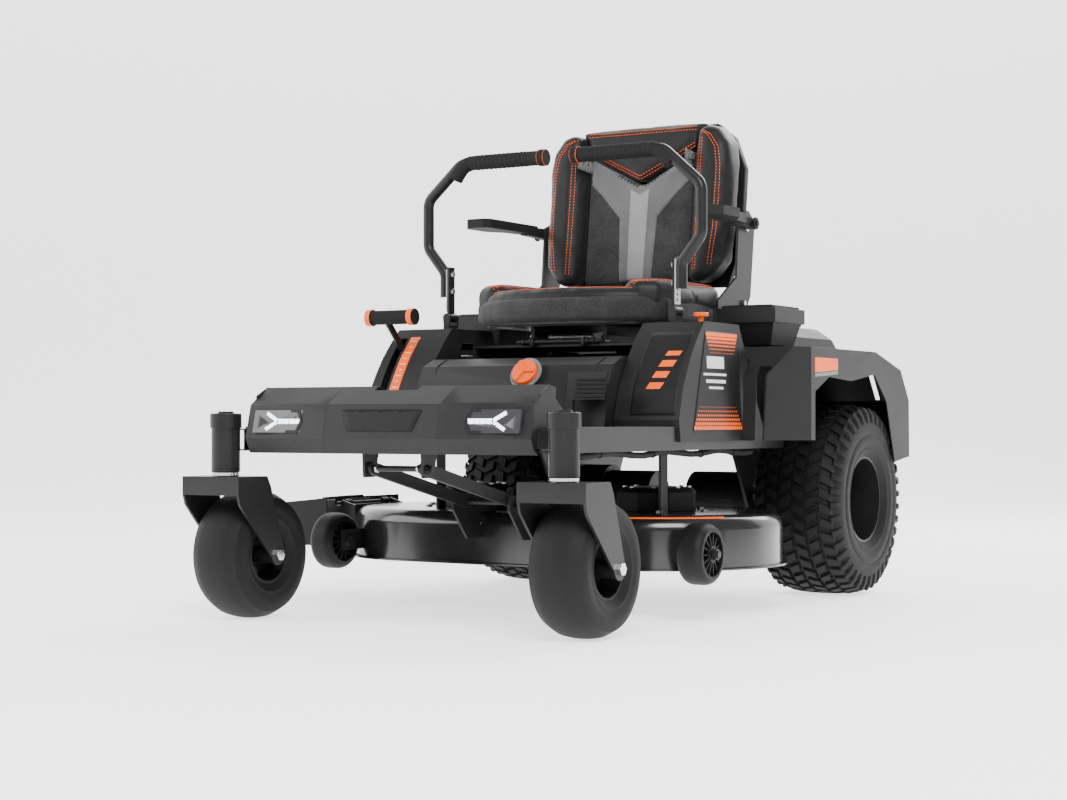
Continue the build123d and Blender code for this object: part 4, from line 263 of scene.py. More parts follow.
def add_object(name: str, mesh: bpy.types.Mesh, finish: Finish, body: str,
               smooth: float = 35.0) -> bpy.types.Object:
    """Put a mesh in the scene as a finished piece.

    Args:
        name: The piece's name.
        mesh: Its mesh, in the frame's metres.
        finish: Its finish.
        body: The CAD body it moves with, or an empty string for the stage.
        smooth: Edges that turn by more than this many degrees stay sharp.

    Returns:
        The new object.
    """
    mesh.materials.clear()
    mesh.materials.append(finish.material())
    mesh.shade_smooth()
    mesh.set_sharp_from_angle(angle=radians(smooth))
    piece = bpy.data.objects.new(name, mesh)
    bpy.context.scene.collection.objects.link(piece)
    if body:
        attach(piece, body)
    LOG.info("%s: %d faces", name, len(mesh.polygons))
    return piece


def bevelled(piece: bpy.types.Object, width: float) -> bpy.types.Object:
    """Round a piece's sharp edges by width, in millimetres."""
    rounding = piece.modifiers.new("edges", "BEVEL")
    rounding.width = width * MM
    rounding.segments = 2
    rounding.limit_method = "ANGLE"
    rounding.angle_limit = radians(32)
    rounding.harden_normals = True
    return piece


def dress(node: str, finish: Finish, edge: float) -> bpy.types.Object:
    """Stand a finished copy with rounded edges in for a CAD node.

    Args:
        node: The CAD node's name.
        finish: The finish of the copy.
        edge: The edge radius in millimetres.

    Returns:
        The copy.
    """
    mesh = frame["nodes"][node].data.copy()
    mesh.name = node + "_skin"
    shape = bmesh.new()
    shape.from_mesh(mesh)
    bmesh.ops.remove_doubles(shape, verts=shape.verts, dist=2e-6)
    bmesh.ops.dissolve_limit(shape, angle_limit=radians(0.6), verts=shape.verts, edges=shape.edges)
    shape.to_mesh(mesh)
    shape.free()
    piece = add_object(node + "_skin", mesh, finish, NODE_BODY[node])
    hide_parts(node)
    return bevelled(piece, edge)


def mesh_of(name: str, points: Sequence[Vector], faces: Sequence[Sequence[int]]) -> bpy.types.Mesh:
    """A mesh with outward faces from points and faces."""
    mesh = bpy.data.meshes.new(name)
    mesh.from_pydata([tuple(p) for p in points], [], [list(f) for f in faces])
    shape = bmesh.new()
    shape.from_mesh(mesh)
    bmesh.ops.recalc_face_normals(shape, faces=shape.faces)
    shape.to_mesh(mesh)
    shape.free()
    return mesh


def mirrored(outline: Sequence[Point2]) -> tuple[Point2, ...]:
    """The same outline on the machine's other side."""
    return tuple((-x, y) for x, y in reversed(outline))


def oblong(width: float, height: float) -> tuple[Point2, ...]:
    """A rectangle's corners round its own middle."""
    x, y = width / 2, height / 2
    return ((-x, -y), (x, -y), (x, y), (-x, y))


def swept(outline: Sequence[Point2], place: Placing, low: float,
          high: float) -> tuple[list[Vector], list[list[int]]]:
    """A prism's points and faces.

    Args:
        outline: The corners of its section.
        place: Puts a section corner and a depth in the frame.
        low: The depth of the first end.
        high: The depth of the other end.

    Returns:
        The points and the faces.
    """
    n = len(outline)
    points = [place(a, b, depth) for depth in (low, high) for a, b in outline]
    faces = [list(range(n)), list(range(2 * n - 1, n - 1, -1))]
    faces += [[i, (i + 1) % n, n + (i + 1) % n, n + i] for i in range(n)]
    return points, faces


@dataclass
class Parts:
    """Gathers small solids into one mesh, so that a row of bolts or stitches is one piece."""

    points: list[Vector] = field(default_factory=list)
    faces: list[list[int]] = field(default_factory=list)

    def add(self, points: Sequence[Vector], faces: Sequence[Sequence[int]]) -> None:
        """Take in one more solid."""
        start = len(self.points)
        self.points += list(points)
        self.faces += [[start + i for i in face] for face in faces]

    def prism(self, outline: Sequence[Point2], place: Placing, low: float, high: float) -> None:
        """Take in a prism; the arguments are those of swept()."""
        self.add(*swept(outline, place, low, high))

    def disc(self, centre: Vector, axis: Vector, radius: float, height: float, sides: int = 6,
             hollow: float = 0.0) -> None:
        """Take in a round or hexagonal head standing on a surface.

        Args:
            centre: Where it stands, in metres.
            axis: The way it stands.
            radius: Its radius in millimetres.
            height: Its height in millimetres.
            sides: How many sides it has.
            hollow: The radius of a hole through it in millimetres, or 0.
        """
        up = axis.normalized()
        across = up.orthogonal().normalized()
        other = up.cross(across)
        rim = [across * cos(tau * k / sides) + other * sin(tau * k / sides) for k in range(sides)]
        low, high = centre - up * MM * 0.3, centre + up * height * MM
        if hollow:
            levels = ((low, radius), (high, radius), (high, hollow), (low, hollow))
        else:
            levels = ((low, radius), (high - up * height * MM * 0.2, radius), (high, radius * 0.84))
        points = [middle + r * reach * MM for middle, reach in levels for r in rim]
        count = len(levels)
        faces = []
        for j in range(count if hollow else count - 1):
            this, after = j * sides, (j + 1) % count * sides
            faces += [[this + k, this + (k + 1) % sides, after + (k + 1) % sides, after + k]
                      for k in range(sides)]
        if not hollow:
            faces += [list(range(sides)), list(range((count - 1) * sides, count * sides))]
        self.add(points, faces)

    def piece(self, name: str, finish: Finish, body: str, smooth: float = 35.0) -> bpy.types.Object:
        """Make the gathered solids one piece."""
        return add_object(name, mesh_of(name, self.points, self.faces), finish, body, smooth)


def lathe(name: str, profile: Sequence[Point2], centre: Vector, finish: Finish, body: str,
          steps: int) -> bpy.types.Object:
    """A piece turned about an axis along X.

    Args:
        name: The piece's name.
        profile: Points (x off the centre, radius) in millimetres.
        centre: The middle of the axis.
        finish: Its finish.
        body: The body it moves with.
        steps: How many facets it has round.

    Returns:
        The piece.
    """
    n = len(profile)
    points = [centre + Vector((x, r * cos(tau * k / steps), r * sin(tau * k / steps))) * MM
              for k in range(steps) for x, r in profile]
    faces = [[k * n + j, k * n + (j + 1) % n, (k + 1) % steps * n + (j + 1) % n, (k + 1) % steps * n + j]
             for k in range(steps) for j in range(n)]
    return add_object(name, mesh_of(name, points, faces), finish, body)


def tube(name: str, path: Sequence[Vector], radius: float, finish: Finish, body: str,
         sides: int = 12) -> bpy.types.Object:
    """A round tube along a path, its radius in millimetres."""
    curve = bpy.data.curves.new(name, "CURVE")
    curve.dimensions = "3D"
    curve.bevel_depth = radius * MM
    curve.bevel_resolution = sides // 4
    curve.use_fill_caps = True
    spline = curve.splines.new("POLY")
    spline.points.add(len(path) - 1)
    for point, p in zip(spline.points, path):
        point.co = (*p, 1)
    holder = bpy.data.objects.new(name + "_path", curve)
    bpy.context.scene.collection.objects.link(holder)
    mesh = bpy.data.meshes.new_from_object(holder.evaluated_get(bpy.context.evaluated_depsgraph_get()))
    bpy.data.objects.remove(holder)
    return add_object(name, mesh, finish, body, 60)


def surface(*pieces: bpy.types.Object) -> BVHTree:
    """A tree of the pieces' bare meshes to lay marks and stitches on."""
    points: list[Vector] = []
    faces: list[list[int]] = []
    for piece in pieces:
        start = len(points)
        points += [v.co.copy() for v in piece.data.vertices]
        faces += [[start + i for i in polygon.vertices] for polygon in piece.data.polygons]
    return BVHTree.FromPolygons(points, faces)


def walk(path: Sequence[Vector], step: float) -> list[tuple[Vector, Vector]]:
    """Points along a path every step metres, each with the path's direction."""
    out: list[tuple[Vector, Vector]] = []
    for a, b in zip(path, path[1:]):
        span = (b - a).length
        count = max(1, round(span / step))
        out += [(a.lerp(b, (k + 0.5) / count), (b - a).normalized()) for k in range(count)]
    return out


def stitches(name: str, paths: Iterable[Sequence[Vector]], on: BVHTree, inward: Vector,
             body: str) -> bpy.types.Object:
    """Sew short raised stitches along paths laid on a surface.

    Args:
        name: The piece's name.
        paths: The seams, near the surface.
        on: The surface.
        inward: The way to look from outside to meet it.
        body: The body it moves with.

    Returns:
        The piece.
    """
    sewn = Parts()
    section = ((-2.5, 0.0), (-1.6, 0.9), (1.6, 0.9), (2.5, 0.0), (1.6, -0.5), (-1.6, -0.5))
    for path in paths:
        for spot, along in walk(path, STITCH_PITCH):
            hit, normal, _, _ = on.ray_cast(spot - inward * 0.2, inward)
            if hit is None:
                continue
            side = normal.cross(along).normalized()
            run = side.cross(normal)
            sewn.prism(section, lambda a, b, d: hit + (run * a + normal * b + side * d) * MM, -0.65, 0.65)
    return sewn.piece(name, THREAD_PAINTED_GLOW, body)


def patch(name: str, outline: Sequence[Vector], on: BVHTree, inward: Vector, finish: Finish, body: str,
          proud: float = 0.35, grid: float = 0.012) -> bpy.types.Object:
    """A thin sheet with an exact outline, laid on a surface.

    Args:
        name: The piece's name.
        outline: Its corners, near the surface.
        on: The surface.
        inward: The way to look from outside to meet it.
        finish: Its finish.
        body: The body it moves with.
        proud: How far it stands off, in millimetres.
        grid: Its facets' size in metres.

    Returns:
        The piece.
    """
    shape = bmesh.new()
    rim = [shape.verts.new(p) for p in outline]
    shape.faces.new(rim)
    bmesh.ops.triangulate(shape, faces=shape.faces)
    for _ in range(7):
        long = [e for e in shape.edges if e.calc_length() > grid]
        if not long:
            break
        bmesh.ops.subdivide_edges(shape, edges=long, cuts=1)
        bmesh.ops.triangulate(shape, faces=shape.faces)
    for vertex in shape.verts:
        hit, _, _, _ = on.ray_cast(vertex.co - inward * 0.2, inward)
        if hit is not None:
            vertex.co = hit - inward * proud * MM
    mesh = bpy.data.meshes.new(name)
    shape.to_mesh(mesh)
    shape.free()
    piece = add_object(name, mesh, finish, body)
    thick = piece.modifiers.new("thickness", "SOLIDIFY")
    thick.thickness = 0.6 * MM
    thick.offset = 0.0
    return piece


@dataclass
class Wheels:
    """Drive tyres with turf tread, caster tyres and gauge wheels."""

    drive_r: float = 230.0
    drive_half: float = 110.5
    tread_h: float = 8.0
    pitches: int = 40
    block_half_x: float = 14.5
    block_half_run: float = 12.0
    block_lean: float = 6.0
    rows: tuple[float, ...] = (-83.0, -50.0, -17.0, 17.0, 50.0, 83.0)
    caster_r: float = 136.0
    caster_half: float = 62.0
    gauge_ribs: int = 14

    def crown(self, x: float) -> float:
        """The tread's outer radius at x off the tyre's middle, in millimetres."""
        return self.drive_r - 2.0 * (x / 55) ** 2 - 5.5 * max(0.0, (abs(x) - 60) / 30) ** 2

    def drive(self, side: str) -> None:
        """Build one drive tyre and dress its wheel."""
        body = "drive_wheel_" + side
        centre = Vector(JOINTS["drive_roll_" + side]["pos_m"])
        half, base = self.drive_half, self.tread_h
        rim = [(-half + 16, 103), (-half + 8, 115), (-half + 4, 121), (-half + 5, 126), (-half + 1.5, 134),
               (-half + 0.5, 152), (-half + 2.5, 156), (-half + 0.8, 160), (-half + 3, 182), (-half + 9, 200)]
        tread = [(x, self.crown(x) - base) for x in (-90, -70, -45, -20, 0, 20, 45, 70, 90)]
        profile = rim + tread + [(-x, r) for x, r in reversed(rim)]
        tyre = lathe("drive_tyre_" + side, profile, centre, TYRE, body, 144)
        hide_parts("rear_tyre_" + side)
        blocks = Parts()
        for k in range(self.pitches):
            for j, row in enumerate(self.rows):
                lean = self.block_lean if j % 2 else -self.block_lean
                self._block(blocks, centre, k + 0.5 * (j % 2), row, lean)
            for sign in (-1, 1):
                self._shoulder(blocks, centre, k + (0.25 if sign > 0 else 0.75), sign)
        blocks.piece("drive_tread_" + side, TYRE, body, 30)
        dress("rear_wheel_" + side, FRAME_PAINT, 1.2)

    def _block(self, blocks: Parts, centre: Vector, pitch: float, row: float, lean: float) -> None:
        """One tread block: a slanted pad with tapered sides."""
        points = []
        for lift, shrink in ((-1.5, 1.0), (self.tread_h, 0.82)):
            for sx, sc in ((-1, -1), (1, -1), (1, 1), (-1, 1)):
                x = row + sx * self.block_half_x * shrink
                r = self.crown(x) - self.tread_h + lift
                run = sc * self.block_half_run * shrink + sx * lean
                turn = tau * pitch / self.pitches + run / self.drive_r
                points.append(centre + Vector((x, r * cos(turn), r * sin(turn))) * MM)
        blocks.add(points, BOX_FACES)

    def _shoulder(self, blocks: Parts, centre: Vector, pitch: float, sign: int) -> None:
        """One lug down the shoulder of the tyre."""
        points = []
        for x, r in ((97, 219), (106.5, 203), (109.4, 184)):
            for width, lift in ((9.0, -2.0), (6.5, 3.0)):
                for sc in (-1, 1):
                    turn = tau * pitch / self.pitches + sc * width / self.drive_r
                    out_x = sign * min(x - 3 + lift, self.drive_half)
                    out_r = r + lift * 0.5
                    points.append(centre + Vector((out_x, out_r * cos(turn), out_r * sin(turn))) * MM)
        faces = []
        for s in (0, 4):
            faces += [[s, s + 1, s + 5, s + 4], [s + 2, s + 3, s + 7, s + 6], [s, s + 2, s + 6, s + 4],
                      [s + 1, s + 3, s + 7, s + 5]]
        faces += [[0, 1, 3, 2], [8, 9, 11, 10]]
        blocks.add(points, faces)

    def caster(self, side: str) -> None:
        """Build one caster tyre and dress its hub, axle and fork."""
        body = "caster_wheel_" + side
        centre = Vector(JOINTS["caster_roll_" + side]["pos_m"])
        half, r = self.caster_half, self.caster_r
        flank = [(-half + 12, 62), (-half + 8, 70), (-half + 3, 78), (-half + 3.5, 84), (-half + 0.6, 92),
                 (-half + 0.4, 106), (-half + 6, 120), (-half * 0.68, r - 8)]
        crown = [(x, r - 3.6 * (x / 33) ** 2) for x in (-33, -24, -12, 0, 12, 24, 33)]
        profile = flank + crown + [(-x, rr) for x, rr in reversed(flank)]
        tyre = lathe("caster_tyre_" + side + "_skin", profile, centre, TYRE, body, 96)
        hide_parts("caster_tyre_" + side)
        dress("caster_hub_" + side, BLACK_PLASTIC, 1.0)
        dress("caster_axle_" + side, CHROME, 0.6)
        dress("caster_fork_" + side, FRAME_PAINT, 1.4)

    def gauge(self, side: str) -> None:
        """Dress one gauge wheel and give it radial ribs."""
        body = "gauge_" + side
        centre = Vector(JOINTS["gauge_roll_" + side]["pos_m"])
        dress("gauge_wheel_" + side, BLACK_PLASTIC, 0.8)
        ribs = Parts()
        for k in range(self.gauge_ribs):
            turn = tau * k / self.gauge_ribs
            out = Vector((0, cos(turn), sin(turn)))
            flat = Vector((0, -sin(turn), cos(turn)))
            for sign in (-1, 1):
                ribs.prism(((17, 5), (47, 5), (47, 24), (17, 27)),
                           lambda a, b, d: centre + (out * a + Vector((sign * b, 0, 0)) + flat * d) * MM,
                           -1.4, 1.4)
        ribs.piece("gauge_ribs_" + side, BLACK_PLASTIC, body)

    def build(self) -> None:
        """Build all the wheels."""
        for side, _ in SIDES:
            self.drive(side)
            self.caster(side)
            self.gauge(side)


@dataclass
class Chassis:
    """The welded frame and the steel that shows round it."""

    caster_x: float = 409.0
    ring_z: float = 304.5
    floor_top: float = 406.4
    mat_top: float = 412.3
    hanger_x: float = 62.0
    hanger_gap: float = 10.0
    loom_x: float = 372.0
    loom_z: float = 350.0
    plain: tuple[tuple[str, Finish, float], ...] = (
        ("frame", FRAME_PAINT, 2.0), ("floor_pan", FRAME_PAINT, 0.8), ("foot_mat", RUBBER, 0.8),
        ("caster_tubes", FRAME_PAINT, 1.0), ("drive_motors", CASTING, 1.5),
        ("seat_support", BRACKET_PAINT, 1.0), ("battery_packs", BLACK_PLASTIC, 1.5),
        ("controller", CASTING, 1.0), ("front_links", BRACKET_PAINT, 0.8), ("lift_shaft", BRACKET_PAINT, 0.8),
        ("brake_pedal", BRACKET_PAINT, 0.8), ("key_switch", BLACK_PLASTIC, 0.5), ("blade_knob", ORANGE_PAINTED_GLOW, 0.6),
        ("rear_body", BLACK_PLASTIC, 1.2),
    )

    def build(self) -> None:
        """Dress the frame and add its fastenings."""
        for node, finish, edge in self.plain:
            dress(node, finish, edge)
        rings = Parts()
        for _, sign in SIDES:
            rings.disc(at(sign * self.caster_x, 0, self.ring_z), UP, 28.6, 5.5, 40, 22)
        rings.piece("caster_thrust_rings", CHROME, "chassis")
        heads = Parts()
        for x in (-330, -210, -90, 90, 210, 330):
            heads.disc(at(x, 62, self.floor_top), UP, 7, 4.5)
        heads.piece("floor_bolts", STEEL, "chassis")
        grit = Parts()
        for k in range(12):
            for j in range(7):
                grit.disc(at(-198 + 36 * k, 96 + 44 * j, self.mat_top), UP, 3.4, 0.8, 10)
        grit.piece("foot_mat_studs", RUBBER, "chassis")
        self.hanger()
        pads = Parts()
        for j in range(5):
            pads.prism(((0, 0), (74, 0), (74, 1.6), (0, 1.6)),
                       lambda a, b, d: at(190 + a, 424.2 + 0.2 * d - b, 468 + d), 9.0 * j, 9.0 * j + 5.0)
        pads.piece("pedal_ribs", RUBBER, "pedal")

    def hanger(self) -> None:
        """The clevis bolts of the front hanger and the wiring loom along the left rail."""
        pivot = Vector(JOINTS["front_link_swing"]["pos_m"])
        bolts = Parts()
        for _, sign in SIDES:
            for reach in (self.hanger_x - self.hanger_gap, self.hanger_x + self.hanger_gap):
                out = Vector((sign if reach > self.hanger_x else -sign, 0, 0))
                bolts.disc(pivot + Vector((sign * reach * MM, 0, 0)), out, 9.5, 4.0, 6)
        bolts.piece("hanger_bolts", STEEL, "chassis")
        loom = [at(self.loom_x - 4 * sin(0.9 * k), 120 + 44 * k, self.loom_z - 3.5 * cos(1.1 * k))
                for k in range(19)]
        tube("wiring_loom", loom, 7.0, RUBBER, "chassis", 14)
        clips = Parts()
        for k in (2, 7, 12, 16):
            clips.disc(loom[k], loom[k + 1] - loom[k], 8.6, 7.0, 20)
        clips.piece("loom_clips", BLACK_PLASTIC, "chassis")


@dataclass
class Deck:
    """The cutting deck, its motors, blades, chute and hang plates."""

    motors: tuple[Point2, ...] = ((228.0, 730.0), (-272.0, 750.0))
    top: float = 218.0
    motor_h: float = 52.0
    lid_bolts_r: float = 72.0
    plate_bolts_r: float = 118.0
    stripe_r: float = 268.0
    stripe_w: float = 5.0

    def build(self) -> None:
        """Dress the deck and add its stripe, motor lids and bolts."""
        deck = dress("deck_shell", DECK_PAINT, 1.2)
        dress("deck_brackets", BRACKET_PAINT, 0.8)
        dress("deck_motors", BLACK_PLASTIC, 1.5)
        for side, _ in SIDES:
            dress("blade_" + side, STEEL, 0.6)
        dress("discharge_chute", BLACK_PLASTIC, 1.2)
        skin = surface(deck)
        outer = self._arc(self.motors[0], self.stripe_r, -118.0, -30.0)
        inner = self._arc(self.motors[0], self.stripe_r - self.stripe_w, -118.0, -30.0)
        band = [at(x, y, 240) for x, y in outer + inner[::-1]]
        patch("deck_stripe", band, skin, DOWN, ORANGE_PAINTED_GLOW, "deck", 0.3, 0.01)
        heads, lids = Parts(), Parts()
        lid_z = self.top + self.motor_h
        for x, y in self.motors:
            for k in range(8):
                turn, r = tau * (k + 0.5) / 8, self.lid_bolts_r
                heads.disc(at(x + r * cos(turn), y + r * sin(turn), lid_z), UP, 5, 3.5)
            lids.disc(at(x, y, lid_z), UP, 44, 2.6, 48)
            for k in range(6):
                turn, r = tau * k / 6, self.plate_bolts_r
                heads.disc(at(x + r * cos(turn), y + r * sin(turn), self.top), UP, 8, 5)
        heads.piece("deck_bolts", STEEL, "deck")
        lids.piece("deck_motor_lids", GREY_MARK, "deck")

    @staticmethod
    def _arc(centre: Point2, r: float, start: float, end: float, steps: int = 22) -> list[Point2]:
        """Points on an arc of radius r, in millimetres, from start to end degrees."""
        turns = [radians(start + (end - start) * k / steps) for k in range(steps + 1)]
        return [(centre[0] + r * cos(t), centre[1] + r * sin(t)) for t in turns]


@dataclass
class Bodywork:
    """The moulded covers, with their lamps, marks, latches and lids."""

    seam_x: float = 137.0
    lamp_z: float = 417.0
    led_pitch: float = 14.0
    console_top: float = 633.0
    beside: float = 460.0
    beyond: float = 620.0
    box_seam_x: float = 206.0

    def build(self) -> None:
        """Dress the covers and add everything that sits on them."""
        self.front()
        self.consoles()
        self.battery_box()
        self.rear()

    def front(self) -> None:
        """The three-piece fascia with its raised panel and headlamps."""
        centre = dress("fascia_centre", CHARCOAL, 1.6)
        dress("fascia_ends", CHARCOAL, 1.6)
        lamps = dress("headlamps", LENS, 1.0)
        panel = [at(x, -60, z) for x, z in ((-96, 440), (96, 440), (78, 398), (-78, 398))]
        patch("fascia_panel", panel, surface(centre), REARWARD, BLACK_PLASTIC, "chassis", 1.6)
        lights, bezels = Parts(), Parts()
        glass = surface(lamps)
        for _, sign in SIDES:
            for k in range(4):
                self._led(lights, glass, sign * (210 + self.led_pitch * k), self.lamp_z, (6, 5), 0.0)
            for k in range(3):
                for up in (1, -1):
                    self._led(lights, glass, sign * (266 + 9 * k), self.lamp_z + up * (4 + 5 * k), (5.2, 3.6),
                              sign * up * 0.5)
            outer = self._hexagon(196, 206, 314, 326, 24)
            inner = self._hexagon(203, 211, 310, 319, 18)
            for k in range(6):
                a, b = outer[k], outer[(k + 1) % 6]
                c, d = inner[(k + 1) % 6], inner[k]
                face = [(sign * x, self._fascia_y(z) + 14.0 * (x - self.seam_x) / 208, z)
                        for x, z in (a, b, c, d)]
                bezels.add([at(x, y + out, z) for out in (-1.5, 6.0) for x, y, z in face], BOX_FACES)
        lights.piece("lamp_leds", LED, "chassis")
        bezels.piece("lamp_bezels", DARK_MARK_AND_SHADE, "chassis")

    def _hexagon(self, tip: float, near: float, far: float, end: float, half_h: float) -> tuple[Point2, ...]:
        """A lamp surround's outline as (x, z) points, half_h above and below the lamp's middle."""
        low, high = self.lamp_z - half_h, self.lamp_z + half_h
        return ((tip, self.lamp_z), (near, high), (far, high), (end, self.lamp_z), (far, low), (near, low))

    @staticmethod
    def _fascia_y(z: float) -> float:
        """The fascia's front face at height z, in millimetres."""
        return -29 + (z - 383) * 17 / 68 if z > 383 else -29 + (383 - z) * 15 / 31

    @staticmethod
    def _led(lights: Parts, glass: BVHTree, x: float, z: float, half: Point2, turn: float) -> None:
        """One lit block on the lens at x, z, turned by turn radians."""
        hit, _, _, _ = glass.ray_cast(at(x, -200, z), REARWARD)
        y = hit.y if hit is not None else at(0, -10, 0).y
        c, s = cos(turn), sin(turn)
        spot = at(x, 0, z)
        lights.prism(oblong(2 * half[0], 2 * half[1]),
                     lambda a, b, d: Vector((spot.x + (a * c - b * s) * MM, y + d * MM,
                                             spot.z + (a * s + b * c) * MM)), -1.2, 5.0)

    def consoles(self) -> None:
        """The two side consoles, with the collars of the key and the blade knob."""
        left = surface(dress("console_left", CHARCOAL, 1.8))
        right = surface(dress("console_right", CHARCOAL, 1.8))
        self.console_side(left)
        self.lift_scale(right)
        collar = Parts()
        collar.disc(at(345, 760, self.console_top), UP, 17, 3.5, 40, 11.4)
        collar.disc(at(345, 715, self.console_top), UP, 14, 2.5, 40, 6.8)
        collar.piece("console_collars", STEEL, "chassis")

    def console_side(self, left: BVHTree) -> None:
        """The dark panels of the left console, with their dots, bars and slanted strokes."""
        inward = Vector((-1, 0, 0))
        side = ((548, 396), (800, 396), (786, 612), (622, 612))
        patch("console_side_panel", [at(self.beside, y, z) for y, z in side], left, inward, DARK_MARK_AND_SHADE,
              "chassis", 0.3)
        dots, bars = Parts(), Parts()
        for row in range(6):
            for k in range(22 - row):
                low_y, high_y = 560 + 11 * k + 5.5 * row, 628 + 7.2 * k + 3.6 * row
                self._dot(dots, left, at(self.beside, low_y, 403 + 9 * row), inward, 4.6 - 0.7 * row)
                self._dot(dots, left, at(self.beside, high_y, 606 - 8 * row), inward, 4.3 - 0.65 * row)
        for width, height, y, z in ((84, 26, 668, 545), (112, 5, 664, 519), (96, 7, 668, 504),
                                    (70, 5, 668, 490)):
            bars.prism(oblong(width, height),
                       lambda a, b, d: self._on(left, at(self.beside, y + a, z + b), inward, d), 0.5, 1.2)
        face = ((288, 430), (396, 430), (384, 610), (284, 610))
        patch("console_front_panel", [at(x, 400, z) for x, z in face], left, REARWARD, DARK_MARK_AND_SHADE, "chassis",
              0.3)
        mark = Parts()
        for shape in (((0, 0), (34, 0), (40, 14), (6, 14)), ((8, 24), (42, 24), (48, 38), (14, 38)),
                      ((16, 48), (50, 48), (56, 62), (22, 62)), ((24, 72), (58, 72), (62, 82), (28, 82))):
            mark.prism(shape, lambda a, b, d: self._on(left, at(316 + a, 400, 486 + b), REARWARD, d), 0.3,
                       1.6)
        mark.piece("console_mark", ORANGE_PAINTED_GLOW, "chassis")
        bars.piece("console_bars", WHITE_MARK, "chassis")
        dots.piece("console_dots", ORANGE_PAINTED_GLOW, "chassis", 60)

    def lift_scale(self, right: BVHTree) -> None:
        """The cutting height scale on the right console's front slope."""
        slope = ((-350, 486), (-324, 486), (-324, 614), (-350, 614))
        patch("lift_scale", [at(x, 480, z) for x, z in slope], right, REARWARD, ORANGE_PAINTED_GLOW, "chassis", 0.5)
        ticks = Parts()
        for k in range(9):
            ticks.prism(oblong(8.0 if k % 2 else 14.0, 2.0),
                        lambda a, b, d: self._on(right, at(-337 + a, 480, 496 + 13.5 * k + b), REARWARD, d),
                        0.7, 1.3)
        ticks.piece("lift_ticks", WHITE_MARK, "chassis")

    @staticmethod
    def _on(tree: BVHTree, spot: Vector, inward: Vector, out: float) -> Vector:
        """The point out millimetres off the surface under spot."""
        hit, _, _, _ = tree.ray_cast(spot - inward * 0.1, inward)
        return (hit if hit is not None else spot) - inward * out * MM

    def _dot(self, dots: Parts, tree: BVHTree, spot: Vector, inward: Vector, radius: float) -> None:
        """One printed dot on the surface under spot."""
        if radius > 0.5:
            dots.disc(self._on(tree, spot, inward, 0.4), -inward, radius, 0.5, 12)

    def battery_box(self) -> None:
        """The cover in front of the seat, with the charging port's ring and cap."""
        dress("battery_cover", CHARCOAL, 2.0)
        dress("charge_cap", ORANGE_PAINTED_GLOW, 1.4)
        normal = Vector(JOINTS["charge_cap_turn"]["axis"]).normalized()
        port = Vector(JOINTS["charge_cap_turn"]["pos_m"])
        ring = Parts()
        ring.disc(port - normal * 2 * MM, normal, 38, 3.4, 64, 30)
        ring.piece("port_ring", GREY_MARK, "chassis", 50)
        grips = Parts()
        across = Vector((1, 0, 0))
        up = normal.cross(across)
        for k in range(24):
            turn = tau * k / 24
            out = across * cos(turn) + up * sin(turn)
            flat = normal.cross(out)
            grips.prism(((28.2, -1.6), (29.6, -1.1), (29.6, 1.1), (28.2, 1.6)),
                        lambda a, b, d: port + (out * a + flat * b + normal * d) * MM, 1.4, 9.2)
        grips.piece("charge_cap_grips", ORANGE_PAINTED_GLOW, "charge_cap")
        seams = Parts()
        crest = ((456, 420), (471.5, 496.5), (494.5, 541), (536, 559), (682, 564.6))
        for sign in (-1, 1):
            for start, end in zip(crest, crest[1:]):
                seams.add([at(sign * self.box_seam_x + dx, y, z + dz) for y, z in (start, end)
                           for dx, dz in ((-1.5, -1.0), (1.5, -1.0), (1.5, 0.9), (-1.5, 0.9))], BOX_FACES)
        seams.piece("battery_cover_seams", BLACK_PLASTIC, "chassis")

    def rear(self) -> None:
        """Fenders, rear cover and storage bins."""
        fenders = surface(dress("fenders", CHARCOAL, 2.0))
        cover = surface(dress("rear_cover", CHARCOAL, 2.2))
        dress("storage_bins", BLACK_PLASTIC, 1.0)
        for side, sign in SIDES:
            lid = surface(dress("bin_lid_" + side, CHARCOAL, 1.6))
            body = "bin_lid_" + side
            panel = [at(sign * x, y, 760) for x, y in ((312, 922), (420, 922), (420, 1040), (312, 1040))]
            patch("bin_panel_" + side, panel, lid, DOWN, BLACK_PLASTIC, body, 1.2)
            # Finger notch at the back of each bin lid, drawn as a thin dark patch: painted shade of the recess,
            # which is not modelled.
            notch_shade = [at(sign * x, y, 760) for x, y in ((352, 1046), (380, 1046), (376, 1056), (356, 1056))]
            patch("bin_notch_shade_" + side, notch_shade, lid, DOWN, DARK_MARK_AND_SHADE, body, 0.4)
        backs = Parts()
        slope = ((1471, 543.2), (1527.4, 470.6), (1525, 468.8), (1468.6, 541.4))
        for _, sign in SIDES:
            backs.add([at(sign * x, y, z) for x in (452, 525.5) for y, z in slope], BOX_FACES)
        backs.piece("fender_back_panels", CHARCOAL, "chassis")
        slots = Parts()
        for k in range(6):
            slots.prism(((-60, -4), (60, -4), (56, 4), (-56, 4)),
                        lambda a, b, d: self._on(cover, at(a, 1300 + 22 * k + b, 800), DOWN, d), 0.0, 1.6)
        slots.piece("rear_cover_ribs", BLACK_PLASTIC, "rear_cover")
        for side, sign in SIDES:
            tab = ((925, 528), (1060, 536), (1060, 562), (925, 562))
            foot = ((925, 518), (1060, 526), (1060, 534), (925, 526))
            for label, outline, finish in (("", tab, ORANGE_PAINTED_GLOW), ("foot_", foot, GREY_MARK)):
                patch("fender_mark_" + label + side, [at(sign * self.beyond, y, z) for y, z in outline],
                      fenders, Vector((-sign, 0, 0)), finish, "chassis", 0.3)


